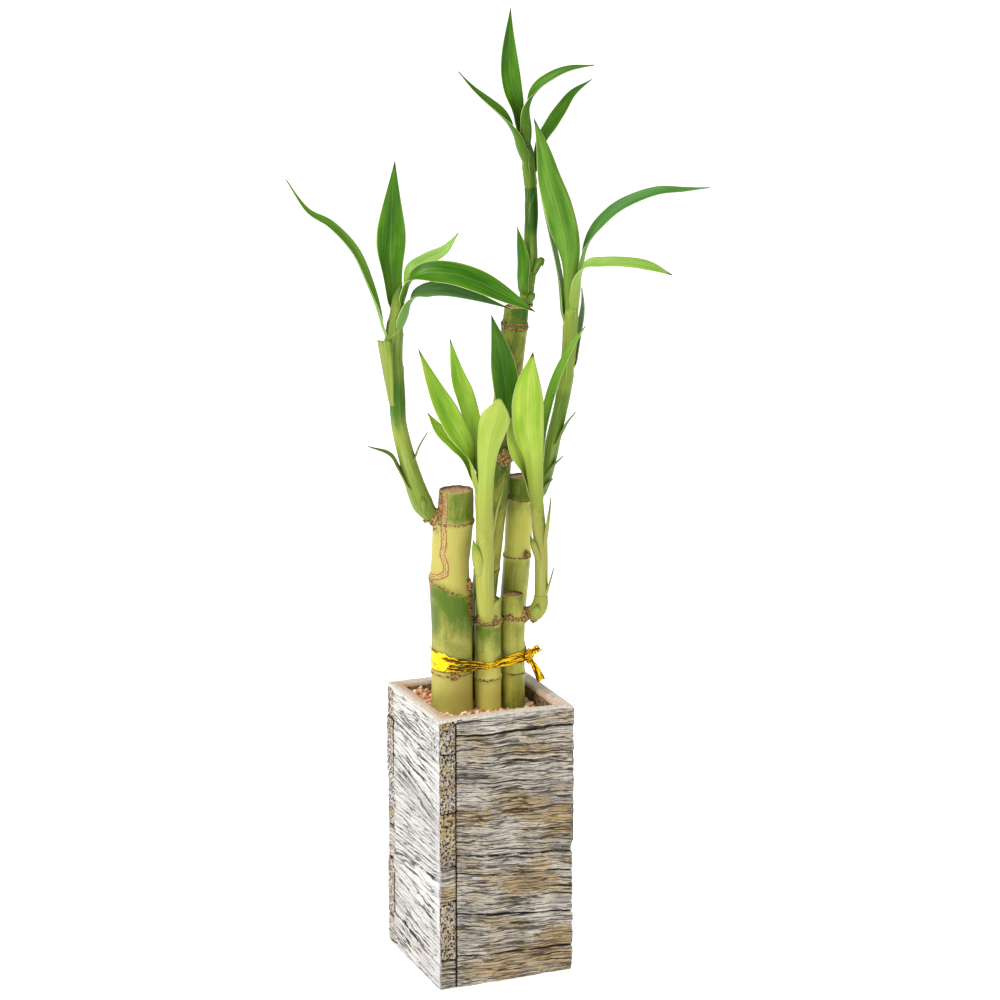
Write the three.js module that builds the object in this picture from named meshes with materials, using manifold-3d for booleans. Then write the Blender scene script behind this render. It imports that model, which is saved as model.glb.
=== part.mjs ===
// Lucky bamboo: five cut canes with leafy shoots, tied with a ribbon and
// standing in gravel in a square pot cast to look like stacked boards.
//
// Millimetres, +Z up. The origin is the centre of the pot's underside.
// Every point of the plant is [across, back, up] in the plant's own frame,
// which is turned about Z against the pot.

import * as THREE from 'three';
import { mergeVertices } from 'three/addons/utils/BufferGeometryUtils.js';
import Module from 'manifold-3d';

const wasm = await Module();
wasm.setup();

// Pot
const POT_WIDTH = 67;
const POT_HEIGHT = 128.5;
const WALL = 7.6;
const FLOOR = 8;
const RIM_HEIGHT = 3.5;
const RIM_BEVEL = 1.1;
const RIM_INSET = 0.2;
const CORE_INSET = 1.4;
const CORNER_RADIUS = 2.4;
const MOUTH_RADIUS = 4.6;
const BOARD_THICKNESS = 7.5;
const BOARD_BEVEL = 0.5;
const BOARD_JOINT = 0.9;
const BOARD_TOP = 126.5;

// Height at which each board starts, and how far its face and its end are set back
const BOARDS = [
  { from: 0, face: 0.1, end: 0.5 },
  { from: 14.7, face: 0.5, end: 0.1 },
  { from: 34.7, face: 0, end: 0.6 },
  { from: 62.3, face: 0.4, end: 0 },
  { from: 84, face: 0.1, end: 0.3 },
  { from: 105.6, face: 0.5, end: 0.1 },
  { from: 117.5, face: 0.2, end: 0.4 },
];

// Gravel
const CLEAR = 0.3;
const GRAVEL_TOP = 121.8;
const GRAVEL_CELLS = 18;
const GRAIN = 1.1;
const MOUND = 1.6;

// Plant
const PLANT_TURN = THREE.MathUtils.degToRad(-22.7);
const CANE_SIDES = 14;
const SHOOT_SIDES = 10;
const CUT_RIM = 0.8;
const CUT_DEPTH = 0.9;
const BLADE = 0.8;
const BLADE_STATIONS = 9;
const BLADE_SPLITS = 4;
const SCALE_STATIONS = 5;
const SCALE_SPLITS = 2;
const TIP_WIDTH = 0.9;
const HUG = 3;
const FOOT_END = 0.45;
const FOOT_LENGTH = 0.08;
const OPEN_FROM = 0.05;
const OPEN_TO = 0.45;
const SEAT_STEPS = 120;

// Ribbon
const RIBBON = 0.7;
const RIBBON_GAP = 0.4;
const BAND_LOW = 141.6;
const BAND_HIGH = 147.2;
const WRAP_LOW = 141.4;
const WRAP_HIGH = 151;
const WRAP_LEFT = -25;
const WRAP_RIGHT = -16.4;
const WRAP_BACK = 4;
const OUTLINE_STEPS = 24;
const KNOT = [22.8, 2.2, 144.8];
const KNOT_SIZE = [2.3, 2.4, 4.4];

// Each ring of a cane: across, back, up, radius, and the slope of the ring
const CANES = {
  left: [
    [-12.3, -4, 74, 9.3, 0],
    [-12.3, -4, 120, 9.4, 0],
    [-12.3, -4, 137.6, 9.3, 0],
    [-12.3, -4, 139.4, 9.7, 0],
    [-12.3, -4, 141.2, 9.1, 0],
    [-12.3, -4, 160, 9.2, -0.1],
    [-12.6, -4, 173, 9.6, -0.35],
    [-12.8, -4, 179.4, 10, -0.42],
    [-13, -4, 182.6, 8.9, -0.4],
    [-13, -4, 190.5, 8.5, -0.1],
    [-12.2, -4, 200, 8.9, 0],
    [-11.7, -4, 207, 9, 0],
    [-11.2, -4, 209.4, 9.3, 0],
    [-10.6, -4, 211.8, 8.2, 0],
    [-10.2, -4, 219, 7.9, 0],
    [-10.1, -4, 223.6, 7.7, 0],
  ],
  front: [
    [4, -0.5, 72, 6, 0],
    [4, -0.5, 120, 6, 0],
    [4, -0.5, 133.6, 6, 0],
    [4, -0.5, 135.4, 6.5, 0.05],
    [4, -0.5, 137.2, 6, 0],
    [4, -0.5, 150, 6, 0],
    [4, -0.5, 160.4, 6, 0],
    [4, -0.5, 162.2, 6.5, 0],
    [4, -0.5, 164.2, 5.9, 0],
    [4, -0.5, 171.8, 5.7, 0],
  ],
  right: [
    [15.6, 3.5, 72, 5.3, 0],
    [15.6, 3.5, 120, 5.3, 0],
    [15.5, 3.5, 134.8, 5.2, 0],
    [15.5, 3.5, 136.6, 5.5, -0.05],
    [15.5, 3.5, 138.4, 5.2, 0],
    [15.4, 3.5, 152, 5.2, 0],
    [15.4, 3.5, 160.6, 5.4, 0],
    [15.5, 3.5, 162.6, 5.4, -0.06],
    [15.4, 3.5, 164.6, 5.2, 0],
    [15.2, 3.5, 173, 4.9, 0],
  ],
  back: [
    [11.5, 17.5, 76, 6, 0],
    [11.5, 17.5, 120, 6, 0],
    [14.6, 18.9, 156, 6.1, 0],
    [16.6, 19.8, 178, 6.2, 0],
    [17.2, 20, 187.5, 6.2, 0],
    [17.4, 20, 189.5, 6.6, -0.06],
    [17.5, 20.1, 191.5, 6.2, 0],
    [18.2, 20.4, 205, 6.3, 0],
    [18.4, 20.5, 214.4, 6.2, 0],
    [18.5, 20.5, 216.4, 6.7, -0.12],
    [18.6, 20.5, 218.4, 6.1, 0],
    [18.7, 20.5, 223.6, 6, 0],
  ],
  tall: [
    [-11.2, 12, 52, 5.9, 0],
    [-3.6, 12.2, 120, 5.9, 0],
    [1, 12.4, 161, 5.9, 0],
    [3.1, 12.5, 180, 5.8, 0],
    [3.4, 12.5, 182, 6.1, 0.05],
    [3.6, 12.5, 184, 5.8, 0],
    [6.2, 12.8, 207, 5.7, 0],
    [9.1, 13.2, 234, 5.7, 0],
    [10.1, 13.4, 242, 5.8, 0],
    [13, 13.8, 268, 5.8, 0],
    [15.7, 14.2, 292.6, 5.8, -0.1],
    [15.9, 14.2, 294.8, 6.3, -0.16],
    [16.2, 14.2, 297, 5.5, -0.1],
    [16.8, 14.3, 303, 5.4, -0.05],
  ],
};

// Buds, cut stubs and the swellings that shoots grow from: centre and half sizes
const BUDS = {
  left: [
    { at: [-5, -7.4, 182], size: [1.6, 1.8, 2.4] },
    { at: [-18.4, -4.4, 210.4], size: [4.2, 4.6, 4.4] },
  ],
  front: [{ at: [3.6, -5.6, 164.4], size: [4.4, 3, 3] }],
  right: [
    { at: [14, -1.8, 163.5], size: [1.6, 1.2, 1.6] },
    { at: [20, 3, 163.4], size: [3, 3.4, 3.8] },
  ],
  back: [
    { at: [21.6, 14.6, 190.5], size: [1.6, 1.3, 2] },
    { at: [23.4, 20.6, 215.6], size: [3, 3.4, 3.4] },
  ],
  tall: [
    { at: [11.8, 8, 235.6], size: [3.4, 2.2, 3.8] },
    { at: [18.6, 18.2, 301.6], size: [3.2, 3, 3.2] },
  ],
};

// Each ring of a shoot: across, back, up and radius
const SHOOTS = {
  left: [
    [-20.4, -4, 210.6, 3.4],
    [-25, -5, 217.4, 5],
    [-28.6, -5.5, 227, 4.6],
    [-31.5, -6, 237.5, 4],
    [-34, -6, 247.5, 3.8],
    [-35.5, -6, 256, 3.6],
    [-36, -6, 266, 3.8],
    [-37, -6, 277, 4.1],
    [-37.5, -6, 287.5, 4],
    [-36.5, -6, 299.5, 3.4],
    [-35, -6, 311, 2.8],
    [-33.5, -6, 318, 1.9],
  ],
  front: [
    [3.6, -7.9, 164.5, 2.6],
    [3.4, -11.2, 169, 3.9],
    [3, -11.6, 175, 4.2],
    [2.5, -11.4, 184.5, 4.1],
    [2.5, -11.2, 196, 4],
    [2.5, -11, 207.5, 3.8],
    [2.5, -11, 219, 3.8],
    [2, -11, 230.5, 3.5],
    [2, -11, 239.5, 2.9],
    [2, -11, 247.5, 2],
  ],
  right: [
    [22.4, 3, 163, 3],
    [25, 3, 164.4, 4.1],
    [27.4, 3, 168, 3.9],
    [28, 3, 174, 3.2],
    [28, 3, 182, 3.1],
    [28, 3, 190, 3.1],
    [27.5, 3, 200, 3.1],
    [26.5, 3, 211, 3],
    [25.5, 3, 221.5, 3],
    [24.5, 3, 231.5, 2.8],
    [24, 3, 240, 2.1],
  ],
  back: [
    [25.8, 20.6, 214.4, 2.7],
    [27.4, 21, 217, 3.5],
    [29.4, 21.2, 222.5, 3.6],
    [31.8, 21, 232, 3.5],
    [34, 20, 243.5, 3.5],
    [36.5, 18.5, 255, 3.3],
    [38.5, 17.5, 266, 3.2],
    [39.5, 16.5, 276.5, 3.2],
    [40.5, 15.5, 287, 3.3],
    [41, 14.5, 298.5, 3.2],
    [42, 13.5, 309, 2.9],
    [42.5, 13, 317, 2],
  ],
  tall: [
    [20.6, 20.3, 302.6, 2.9],
    [21.2, 20.4, 307, 3.3],
    [21.8, 20, 314, 3.6],
    [23, 19.6, 324, 3.3],
    [23, 19.5, 334, 3],
    [23.5, 19.5, 344.5, 3],
    [23, 19, 355.5, 2.7],
    [22, 18.5, 367.5, 2.8],
    [20, 18, 377.5, 2.7],
    [18.5, 17.5, 386, 1.9],
  ],
};

// Scale leaves on the shoots, too small to be pieces of their own
const SCALES = {
  left: [
    {
      route: [[-30.5, -8, 223], [-36, -8.6, 235], [-40, -9, 241.5], [-49.5, -11, 245.5]],
      width: 6, face: [1, 0, 0.4],
    },
    {
      route: [[-30, -6, 233], [-27.5, -7, 241], [-25.5, -8, 246], [-22.5, -9, 251.5]],
      width: 4.4, face: [-1, 0, 0.2],
    },
    {
      route: [[-24, -8.6, 213], [-24.8, -9.9, 219], [-24.4, -10, 222.5]],
      width: 3.6, face: [0, 1, 0],
    },
    {
      route: [[-39.4, -6, 264], [-41, -6.2, 278], [-42.4, -6.4, 292]],
      width: 9.5, face: [1, 0, 0], peak: 1.3,
    },
  ],
  front: [
    {
      route: [[2, -14.6, 186], [0, -15.3, 196.5], [-1.5, -15.2, 202.5]],
      width: 6, face: [0.2, 1, 0],
    },
    {
      route: [[5.6, -9.6, 200], [8.4, -8.6, 216], [11.8, -8, 229.5]],
      width: 3.4, face: [-1, 0.2, 0],
    },
    {
      route: [[5.4, -12.6, 168.6], [8, -12.2, 172.6], [10.4, -11, 176]],
      width: 5, face: [-1, 0.6, 0],
    },
  ],
  right: [
    {
      route: [[29.5, 1.4, 193], [31, 0.8, 206], [32.2, 0.4, 219.5]],
      width: 4, face: [-1, 0.5, 0],
    },
    {
      route: [[27, 0.4, 188], [24.5, -0.4, 196.5], [23, -1, 202]],
      width: 3.6, face: [0.6, 1, 0],
    },
    {
      route: [[30, 2.4, 171], [32, 2, 179], [33.6, 1.6, 186]],
      width: 3.8, face: [-1, 0.3, 0],
    },
    {
      route: [[24.5, -0.4, 163], [26, -0.9, 167], [26.4, -0.7, 170]],
      width: 4, face: [0, 1, 0],
    },
  ],
  back: [
    {
      route: [[34.5, 17.6, 238], [39.5, 16.5, 249], [43.5, 15.5, 255]],
      width: 4, face: [-1, 0.4, 0],
    },
    {
      route: [[30, 18.6, 224], [34.4, 18, 230], [38, 17.6, 234]],
      width: 4, face: [-1, 0.4, 0.3],
    },
    {
      route: [[28, 18.4, 216], [31, 17.8, 220.5], [33.4, 17.6, 223.5]],
      width: 4, face: [-1, 0.4, 0.3],
    },
  ],
  tall: [
    {
      route: [[23.6, 16.8, 316], [26.4, 15.8, 322], [28, 15.8, 323.6], [28.4, 15.8, 320.5]],
      width: 3.6, face: [0, 1, 0],
    },
    {
      route: [[22, 17.4, 303], [23.8, 16.4, 307], [25, 16.4, 309]],
      width: 3.6, face: [-0.6, 1, 0],
    },
  ],
};

// Large leaves. A route starts at the foot, which is seated on the shoot, and
// the tip is the way that the upper side faces at the far end. Peak is where a
// blade is widest and foot is its width there, both as shares.
const LEAVES = {
  left: [
    {
      route: [
        [-41, -6.5, 292], [-43.4, -7.2, 303], [-48, -9, 317.4], [-54, -11, 332],
        [-63.8, -13, 343.8], [-74, -14, 351], [-83, -15, 365],
      ],
      width: 6.4, tip: [0.8, -0.7, 0.6], fold: 90, peak: 0.55, foot: 0.8,
    },
    {
      route: [
        [-37.2, -2, 304], [-38.4, 0.6, 324], [-38.4, 1.8, 336], [-37.8, 1.6, 349.5],
        [-36.2, -0.4, 371],
      ],
      width: 13.4, tip: [0.1, -1, 0], fold: 45, peak: 0.5, foot: 0.5,
    },
    {
      route: [
        [-32, -5, 312], [-30, -3.6, 322.6], [-23.6, -2, 326.8], [-15, -1, 331.2],
        [-8.5, 0, 339],
      ],
      width: 7, tip: [-0.4, -1, 0.4], fold: 50, peak: 0.55, foot: 0.7,
    },
    {
      route: [
        [-32, -7.4, 307], [-30, -8.8, 318], [-23.5, -10.6, 322.8], [-12.5, -12, 323],
        [0, -13, 319.4], [13, -14, 313], [25.3, -14, 306],
      ],
      width: 11, tip: [0.2, -1, 0.5], fold: 40, peak: 0.62, foot: 0.6,
    },
    {
      route: [
        [-33, -9.6, 296], [-29.4, -10.4, 310], [-23, -9.4, 314.4], [-14, -8.8, 315],
        [-1.5, -8.4, 312], [11.5, -8.4, 307],
      ],
      width: 7.6, tip: [0, -0.8, 0.7], fold: 60, peak: 0.55, foot: 0.9,
    },
  ],
  front: [
    {
      route: [
        [-1.4, -12, 222], [-4.6, -12.8, 242], [-11.8, -13.6, 257], [-18.4, -14.4, 270.5],
        [-26.4, -15, 290.5],
      ],
      width: 11, tip: [0.5, -1, 0.3], fold: 40, peak: 0.55, foot: 0.6,
    },
    {
      route: [
        [0.6, -7.4, 230], [-1.8, -6.4, 250], [-5.4, -6, 265], [-9.4, -6, 277],
        [-12.6, -7, 293.5],
      ],
      width: 8.6, tip: [0.3, -1, 0.2], fold: 40, peak: 0.55, foot: 0.6,
    },
    {
      route: [
        [-1.8, -9.6, 225], [-6.2, -9.8, 239.5], [-11.4, -10.4, 246.5], [-17.6, -11.2, 253],
        [-22.6, -12, 261],
      ],
      width: 6.6, tip: [0.5, -1, 0.5], fold: 50, peak: 0.6, foot: 0.6,
    },
    {
      route: [
        [2.8, -15.4, 203], [3, -15.8, 227], [4.2, -16.6, 243], [6.4, -17.8, 254],
        [8.2, -19.2, 262], [8.8, -20.6, 271],
      ],
      width: 15, tip: [0.15, 0.8, 0.5], fold: 50, peak: 0.72, foot: 0.5,
    },
  ],
  right: [
    {
      route: [
        [25.6, -1.2, 210], [24, -3.4, 235.5], [22.2, -4, 248], [21.6, -4, 260],
        [22.2, -4, 273.5], [24, -3, 286.5],
      ],
      width: 14.6, tip: [0.1, 1, 0], fold: 35, peak: 0.6, foot: 0.45,
    },
    {
      route: [[22.6, 4, 214], [20.4, 3.2, 231], [16.8, 2, 241], [14.8, 1.8, 249], [14.3, 2, 256.5]],
      width: 8.4, tip: [0.5, -1, 0], fold: 40, peak: 0.5, foot: 0.6,
    },
    {
      route: [
        [22, 6.6, 228], [16.4, 6.4, 246], [13.2, 5.4, 260], [10.8, 5, 276.5],
        [8.8, 4.2, 288], [5.5, 3.4, 302],
      ],
      width: 12.4, tip: [0.3, -1, 0.2], fold: 35, peak: 0.55, foot: 0.5,
    },
    {
      route: [
        [27.2, 4, 226], [29, 5, 245], [31, 5.6, 258.5], [35, 6, 272.5], [40.5, 5, 285.5],
        [47.5, 4, 297],
      ],
      width: 6.4, tip: [-0.8, -0.8, 0.4], fold: 80, peak: 0.5, foot: 0.9,
    },
  ],
  back: [
    {
      route: [
        [38.2, 12, 300], [39, 10.2, 319.5], [38.2, 8, 334], [35, 6.4, 348], [31, 5, 361.5],
        [28, 4, 375.5], [24, 4, 389],
      ],
      width: 13.2, tip: [0.1, 1, 0], fold: 40, peak: 0.45, foot: 0.6,
    },
    {
      route: [
        [45.4, 12.8, 309], [46.6, 12, 325.5], [49.4, 11, 334.2], [54.6, 10, 341.8],
        [63.4, 8, 349.6], [77.5, 6, 355.8], [90.5, 5, 357], [101.8, 4, 358],
      ],
      width: 8, tip: [0, -0.7, 0.9], fold: 70, peak: 0.45, foot: 0.8,
    },
    {
      route: [
        [43, 8.8, 301], [43.8, 7, 315.6], [47.4, 5.6, 323.2], [54.5, 5, 324.6],
        [65.5, 3, 324.8], [75.5, 1, 323.4], [85.5, -1, 320],
      ],
      width: 6, tip: [0, -0.7, 0.8], fold: 50, peak: 0.75, foot: 0.9,
    },
    {
      route: [[42.2, 18.6, 273], [44.8, 19, 287.5], [46.6, 18.6, 300.5], [45.8, 18, 311]],
      width: 7.5, tip: [-1, -0.3, 0], fold: 50, peak: 0.5, foot: 0.8,
    },
    {
      route: [[37.6, 15.8, 294], [35.4, 17, 316], [31.6, 17.6, 334.5], [27.6, 15, 352]],
      width: 8.5, tip: [1, -0.2, 0], fold: 50, peak: 0.5, foot: 0.8,
    },
  ],
  tall: [
    {
      route: [
        [17.4, 19.8, 378], [16.4, 19.6, 390], [14.8, 18.8, 400], [13.6, 18, 409.5],
        [13.4, 17, 421], [14, 15, 435.5],
      ],
      width: 9, tip: [0.1, -1, 0], fold: 60, peak: 0.5, foot: 0.6,
    },
    {
      route: [
        [22, 16, 375], [21.8, 15.2, 390], [25.4, 14.8, 399.2], [32, 14, 404.7],
        [40.2, 13, 408.7], [51, 12, 410.5],
      ],
      width: 6.4, tip: [-0.2, -0.7, 0.9], fold: 60, peak: 0.6, foot: 0.9,
    },
    {
      route: [
        [25, 20.6, 361], [28.2, 21.6, 375], [32.4, 22, 383], [36.8, 22, 390],
        [41.8, 21, 397.4], [50, 20, 403.5],
      ],
      width: 8, tip: [-0.5, -0.8, 0.6], fold: 50, peak: 0.45, foot: 0.7,
    },
    {
      route: [
        [19.4, 15.8, 366], [15.4, 14.4, 380], [10, 14, 388.4], [4.2, 13, 394], [-2, 12, 400],
        [-9, 11, 408],
      ],
      width: 6.2, tip: [0.3, -0.6, 0.9], fold: 60, peak: 0.45, foot: 0.9,
    },
    {
      route: [
        [19, 16.4, 307], [19.2, 15.6, 315], [19.6, 15.2, 322.5], [18.5, 14.8, 331.5],
        [17, 14.4, 339],
      ],
      width: 6.4, tip: [0.5, 1, 0], fold: 50, peak: 0.45, foot: 0.9,
    },
  ],
};

// Loose ends of the ribbon, from the knot
const TAILS = [
  { route: [[22.6, 1.6, 145], [25, 0, 147.4], [27.4, -1.2, 149.6]], width: 3.6, face: [0, -1, 0.3] },
  { route: [[22.6, 1.4, 144], [25.4, 0, 139.5], [28.4, -1, 133.4]], width: 3.8, face: [0, -1, 0] },
];

// Turns a three.js geometry into a solid that can be cut and joined.
function toSolid(geometry) {
  const bare = geometry.index ? geometry.clone() : geometry;
  bare.deleteAttribute('normal');
  bare.deleteAttribute('uv');
  const merged = mergeVertices(bare, 1e-4);
  return new wasm.Manifold(new wasm.Mesh({
    numProp: 3,
    vertProperties: new Float32Array(merged.attributes.position.array),
    triVerts: new Uint32Array(merged.index.array),
  }));
}

// Turns a solid back into a three.js geometry.
function toGeometry(solid) {
  const { vertProperties, triVerts } = solid.getMesh();
  const geometry = new THREE.BufferGeometry();
  geometry.setAttribute('position', new THREE.BufferAttribute(vertProperties, 3));
  geometry.setIndex(new THREE.BufferAttribute(triVerts, 1));
  geometry.computeVertexNormals();
  return geometry;
}

// Skins a row of rings that all have the same even number of points. Each end
// is closed by a strip between the two halves of its ring. A flat section is
// split alike on its two faces, so the faces never cross.
function skin(rings) {
  const count = rings[0].length;
  const points = rings.flat();
  const triangles = [];
  for (let i = 0; i + 1 < rings.length; i += 1) {
    for (let j = 0; j < count; j += 1) {
      const a = i * count + j;
      const b = i * count + (j + 1) % count;
      const c = b + count;
      const d = a + count;
      if (j < count / 2) triangles.push(a, b, c, a, c, d);
      else triangles.push(a, b, d, b, c, d);
    }
  }
  const last = (rings.length - 1) * count;
  for (let j = 0; j + 1 < count / 2; j += 1) {
    const k = count - 1 - j;
    triangles.push(j, k, k - 1, j, k - 1, j + 1);
    triangles.push(last + j, last + k - 1, last + k, last + j, last + j + 1, last + k - 1);
  }
  const geometry = new THREE.BufferGeometry().setFromPoints(points);
  geometry.setIndex(triangles);
  return toSolid(geometry);
}

// A round ring about a point, level but for its slope across.
function levelRing([across, back, up, radius, slope], sides) {
  const ring = [];
  for (let k = 0; k < sides; k += 1) {
    const angle = (2 * Math.PI * k) / sides;
    const x = radius * Math.cos(angle);
    const y = radius * Math.sin(angle);
    ring.push(new THREE.Vector3(across + x, back + y, up + slope * x));
  }
  return ring;
}

// A cane: its rings, the cut top with its rim and sunken heart, and its buds.
function caneSolid(rings, buds, grow = 0) {
  const [across, back, up, radius] = rings.at(-1);
  const [, , lowest] = rings[0];
  const all = rings.map(([a, b, z, r, slope]) => [a, b, z === lowest ? z - grow : z, r + grow, slope]);
  all.push([across, back, up + CUT_RIM / 2 + grow, radius - CUT_RIM / 2 + grow, 0]);
  all.push([across, back, up + CUT_RIM / 2 - CUT_DEPTH + grow, radius - 2 * CUT_RIM + grow, 0]);
  const cane = skin(all.map((ring) => levelRing(ring, CANE_SIDES)));
  return buds.reduce((solid, bud) => solid.add(roundBody(bud.at, bud.size, grow)), cane);
}

// A smooth curve through points, of which the first three numbers are the place.
function curveThrough(points) {
  const places = points.map(([a, b, z]) => new THREE.Vector3(a, b, z));
  return new THREE.CatmullRomCurve3(places, false, 'catmullrom', 0.5);
}

// A shoot: a round section carried along its rings, square to the way it grows.
function shootSolid(rings, grow = 0) {
  const curve = curveThrough(rings);
  const last = rings.length - 1;
  const front = new THREE.Vector3(0, -1, 0);
  const frames = framesAlong(curve, last, front, front);
  return skin(rings.map(([, , , radius], i) => {
    const { along, side, up } = frames[i];
    const ring = [];
    for (let k = 0; k < SHOOT_SIDES; k += 1) {
      const angle = (2 * Math.PI * k) / SHOOT_SIDES;
      const end = (i === last ? grow : 0);
      ring.push(curve.getPoint(i / last)
        .addScaledVector(side, (radius + grow) * Math.cos(angle))
        .addScaledVector(up, (radius + grow) * Math.sin(angle))
        .addScaledVector(along, end));
    }
    return ring;
  }));
}

// The direction of a curve at a share of its length.
function directionAt(curve, share) {
  const step = 1e-3;
  const ahead = curve.getPoint(Math.min(share + step, 1));
  return ahead.sub(curve.getPoint(Math.max(share - step, 0))).normalize();
}

// The part of a face direction that is square to another direction.
function squareTo(face, along) {
  return face.clone().addScaledVector(along, -face.dot(along)).normalize();
}

// How far a blade has opened and turned at a share of its length.
function openedAt(share) {
  return THREE.MathUtils.smoothstep(share, OPEN_FROM, OPEN_TO);
}

// Frames at even shares of a curve: along it, across the blade, and up from its
// face. The upper side starts towards one direction, is carried along without
// twisting, and turns as the blade opens so that it ends towards another.
function framesAlong(curve, count, face, tip) {
  const frames = [];
  for (let i = 0; i <= count; i += 1) {
    const along = directionAt(curve, i / count);
    const before = frames.at(-1);
    const turn = before && new THREE.Quaternion().setFromUnitVectors(before.along, along);
    const up = squareTo(before ? before.up.clone().applyQuaternion(turn) : face, along);
    frames.push({ along, up });
  }
  const end = frames.at(-1);
  const wanted = squareTo(tip, end.along);
  const roll = Math.atan2(end.up.clone().cross(wanted).dot(end.along), end.up.dot(wanted));
  return frames.map(({ along, up }, i) => {
    const turned = up.clone().applyAxisAngle(along, roll * openedAt(i / count));
    return { along, up: turned, side: turned.clone().cross(along).normalize() };
  });
}

// How wide a blade is at a share of its length, as a share of its widest. Its
// very foot is rounded off.
function bladeWidth(share, peak, foot) {
  const heel = FOOT_END + (1 - FOOT_END) * Math.min(share / FOOT_LENGTH, 1);
  if (share < peak) return heel * (foot + (1 - foot) * Math.sin((Math.PI / 2) * (share / peak)));
  return Math.cos((Math.PI / 2) * ((share - peak) / (1 - peak)));
}

// A blade: a thin arched section carried along its route. At the foot it is
// curved round a stem of the given radius, and further out it opens to its
// fold. A grown blade is the room that it needs with clearance all round.
function bladeSolid(leaf, stations, splits, grow = 0) {
  const { route, width, face, tip = face, fold = 50, peak = 0.4, foot = 0.7, hug = HUG } = leaf;
  const curve = curveThrough(route);
  const frames = framesAlong(curve, stations, new THREE.Vector3(...face), new THREE.Vector3(...tip));
  const bendFoot = 1 / (hug + CLEAR + BLADE / 2);
  const bendTip = THREE.MathUtils.degToRad(fold) / width;
  const rings = [];
  for (let i = 0; i <= stations; i += 1) {
    const share = i / stations;
    const { along, side, up } = frames[i];
    const radius = 1 / (bendFoot + (bendTip - bendFoot) * openedAt(share));
    const span = Math.max(width * bladeWidth(share, peak, foot), TIP_WIDTH);
    const arc = (span + 2 * grow) / radius;
    const middle = curve.getPoint(share).addScaledVector(along, grow * ((i === stations) - (i === 0)));
    const half = BLADE / 2 + grow;
    const ring = [];
    for (let k = 0; k <= splits; k += 1) {
      const angle = arc * (k / splits - 0.5);
      const out = up.clone().multiplyScalar(Math.cos(angle)).addScaledVector(side, -Math.sin(angle));
      const point = middle.clone()
        .addScaledVector(side, radius * Math.sin(angle))
        .addScaledVector(up, radius * (1 - Math.cos(angle)));
      ring.splice(k, 0, point.clone().addScaledVector(out, -half), point.addScaledVector(out, half));
    }
    rings.push(ring);
  }
  return skin(rings);
}

// The leaf with its foot moved onto the shoot, and its upper side turned to
// the shoot there.
function seated(leaf, rings) {
  const curve = curveThrough(rings);
  const foot = new THREE.Vector3(...leaf.route[0]);
  const last = rings.length - 1;
  let nearest = 0;
  for (let i = 1; i <= SEAT_STEPS; i += 1) {
    const share = i / SEAT_STEPS;
    if (curve.getPoint(share).distanceTo(foot) < curve.getPoint(nearest).distanceTo(foot)) nearest = share;
  }
  const axis = curve.getPoint(nearest);
  const index = Math.min(Math.floor(nearest * last), last - 1);
  const hug = THREE.MathUtils.lerp(rings[index][3], rings[index + 1][3], nearest * last - index);
  const outward = foot.sub(axis).normalize();
  const seat = axis.clone().addScaledVector(outward, hug + CLEAR + BLADE / 2);
  return { ...leaf, hug, face: outward.negate().toArray(), route: [seat.toArray(), ...leaf.route.slice(1)] };
}

// The largest single body of a solid, without scraps left by a cut.
function mainBody(solid) {
  return solid.decompose().sort((a, b) => b.volume() - a.volume())[0];
}

// A small round body at a place, for a bud, a cut stub or a knot.
function roundBody(at, size, grow = 0) {
  const geometry = new THREE.IcosahedronGeometry(1, 1);
  geometry.scale(...size.map((half) => half + grow));
  geometry.translate(...at);
  return toSolid(geometry);
}

// A square outline with rounded corners.
function roundedSquare(half, radius) {
  const shape = new THREE.Shape();
  shape.moveTo(-half + radius, -half);
  shape.lineTo(half - radius, -half);
  shape.absarc(half - radius, -half + radius, radius, -Math.PI / 2, 0);
  shape.absarc(half - radius, half - radius, radius, 0, Math.PI / 2);
  shape.absarc(-half + radius, half - radius, radius, Math.PI / 2, Math.PI);
  shape.absarc(-half + radius, -half + radius, radius, Math.PI, 1.5 * Math.PI);
  return shape;
}

function box(from, to) {
  const size = to.map((value, axis) => value - from[axis]);
  const geometry = new THREE.BoxGeometry(...size);
  geometry.translate(...from.map((value, axis) => value + size[axis] / 2));
  return toSolid(geometry);
}

// One board of the wall that faces -Y, from the upright joint to the far corner.
function boardSolid(low, high, setBack, endBack) {
  const half = POT_WIDTH / 2;
  const left = -half + BOARD_THICKNESS + BOARD_JOINT;
  const right = half - endBack;
  const shape = new THREE.Shape();
  shape.moveTo(left, low);
  shape.lineTo(right, low);
  shape.lineTo(right, high);
  shape.lineTo(left, high);
  const geometry = new THREE.ExtrudeGeometry(shape, {
    depth: BOARD_THICKNESS - setBack - 2 * BOARD_BEVEL,
    bevelThickness: BOARD_BEVEL,
    bevelSize: BOARD_BEVEL,
    bevelOffset: -BOARD_BEVEL,
    bevelSegments: 1,
  });
  geometry.rotateX(Math.PI / 2);
  geometry.translate(0, -half + BOARD_THICKNESS - BOARD_BEVEL, 0);
  return toSolid(geometry);
}

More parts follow.
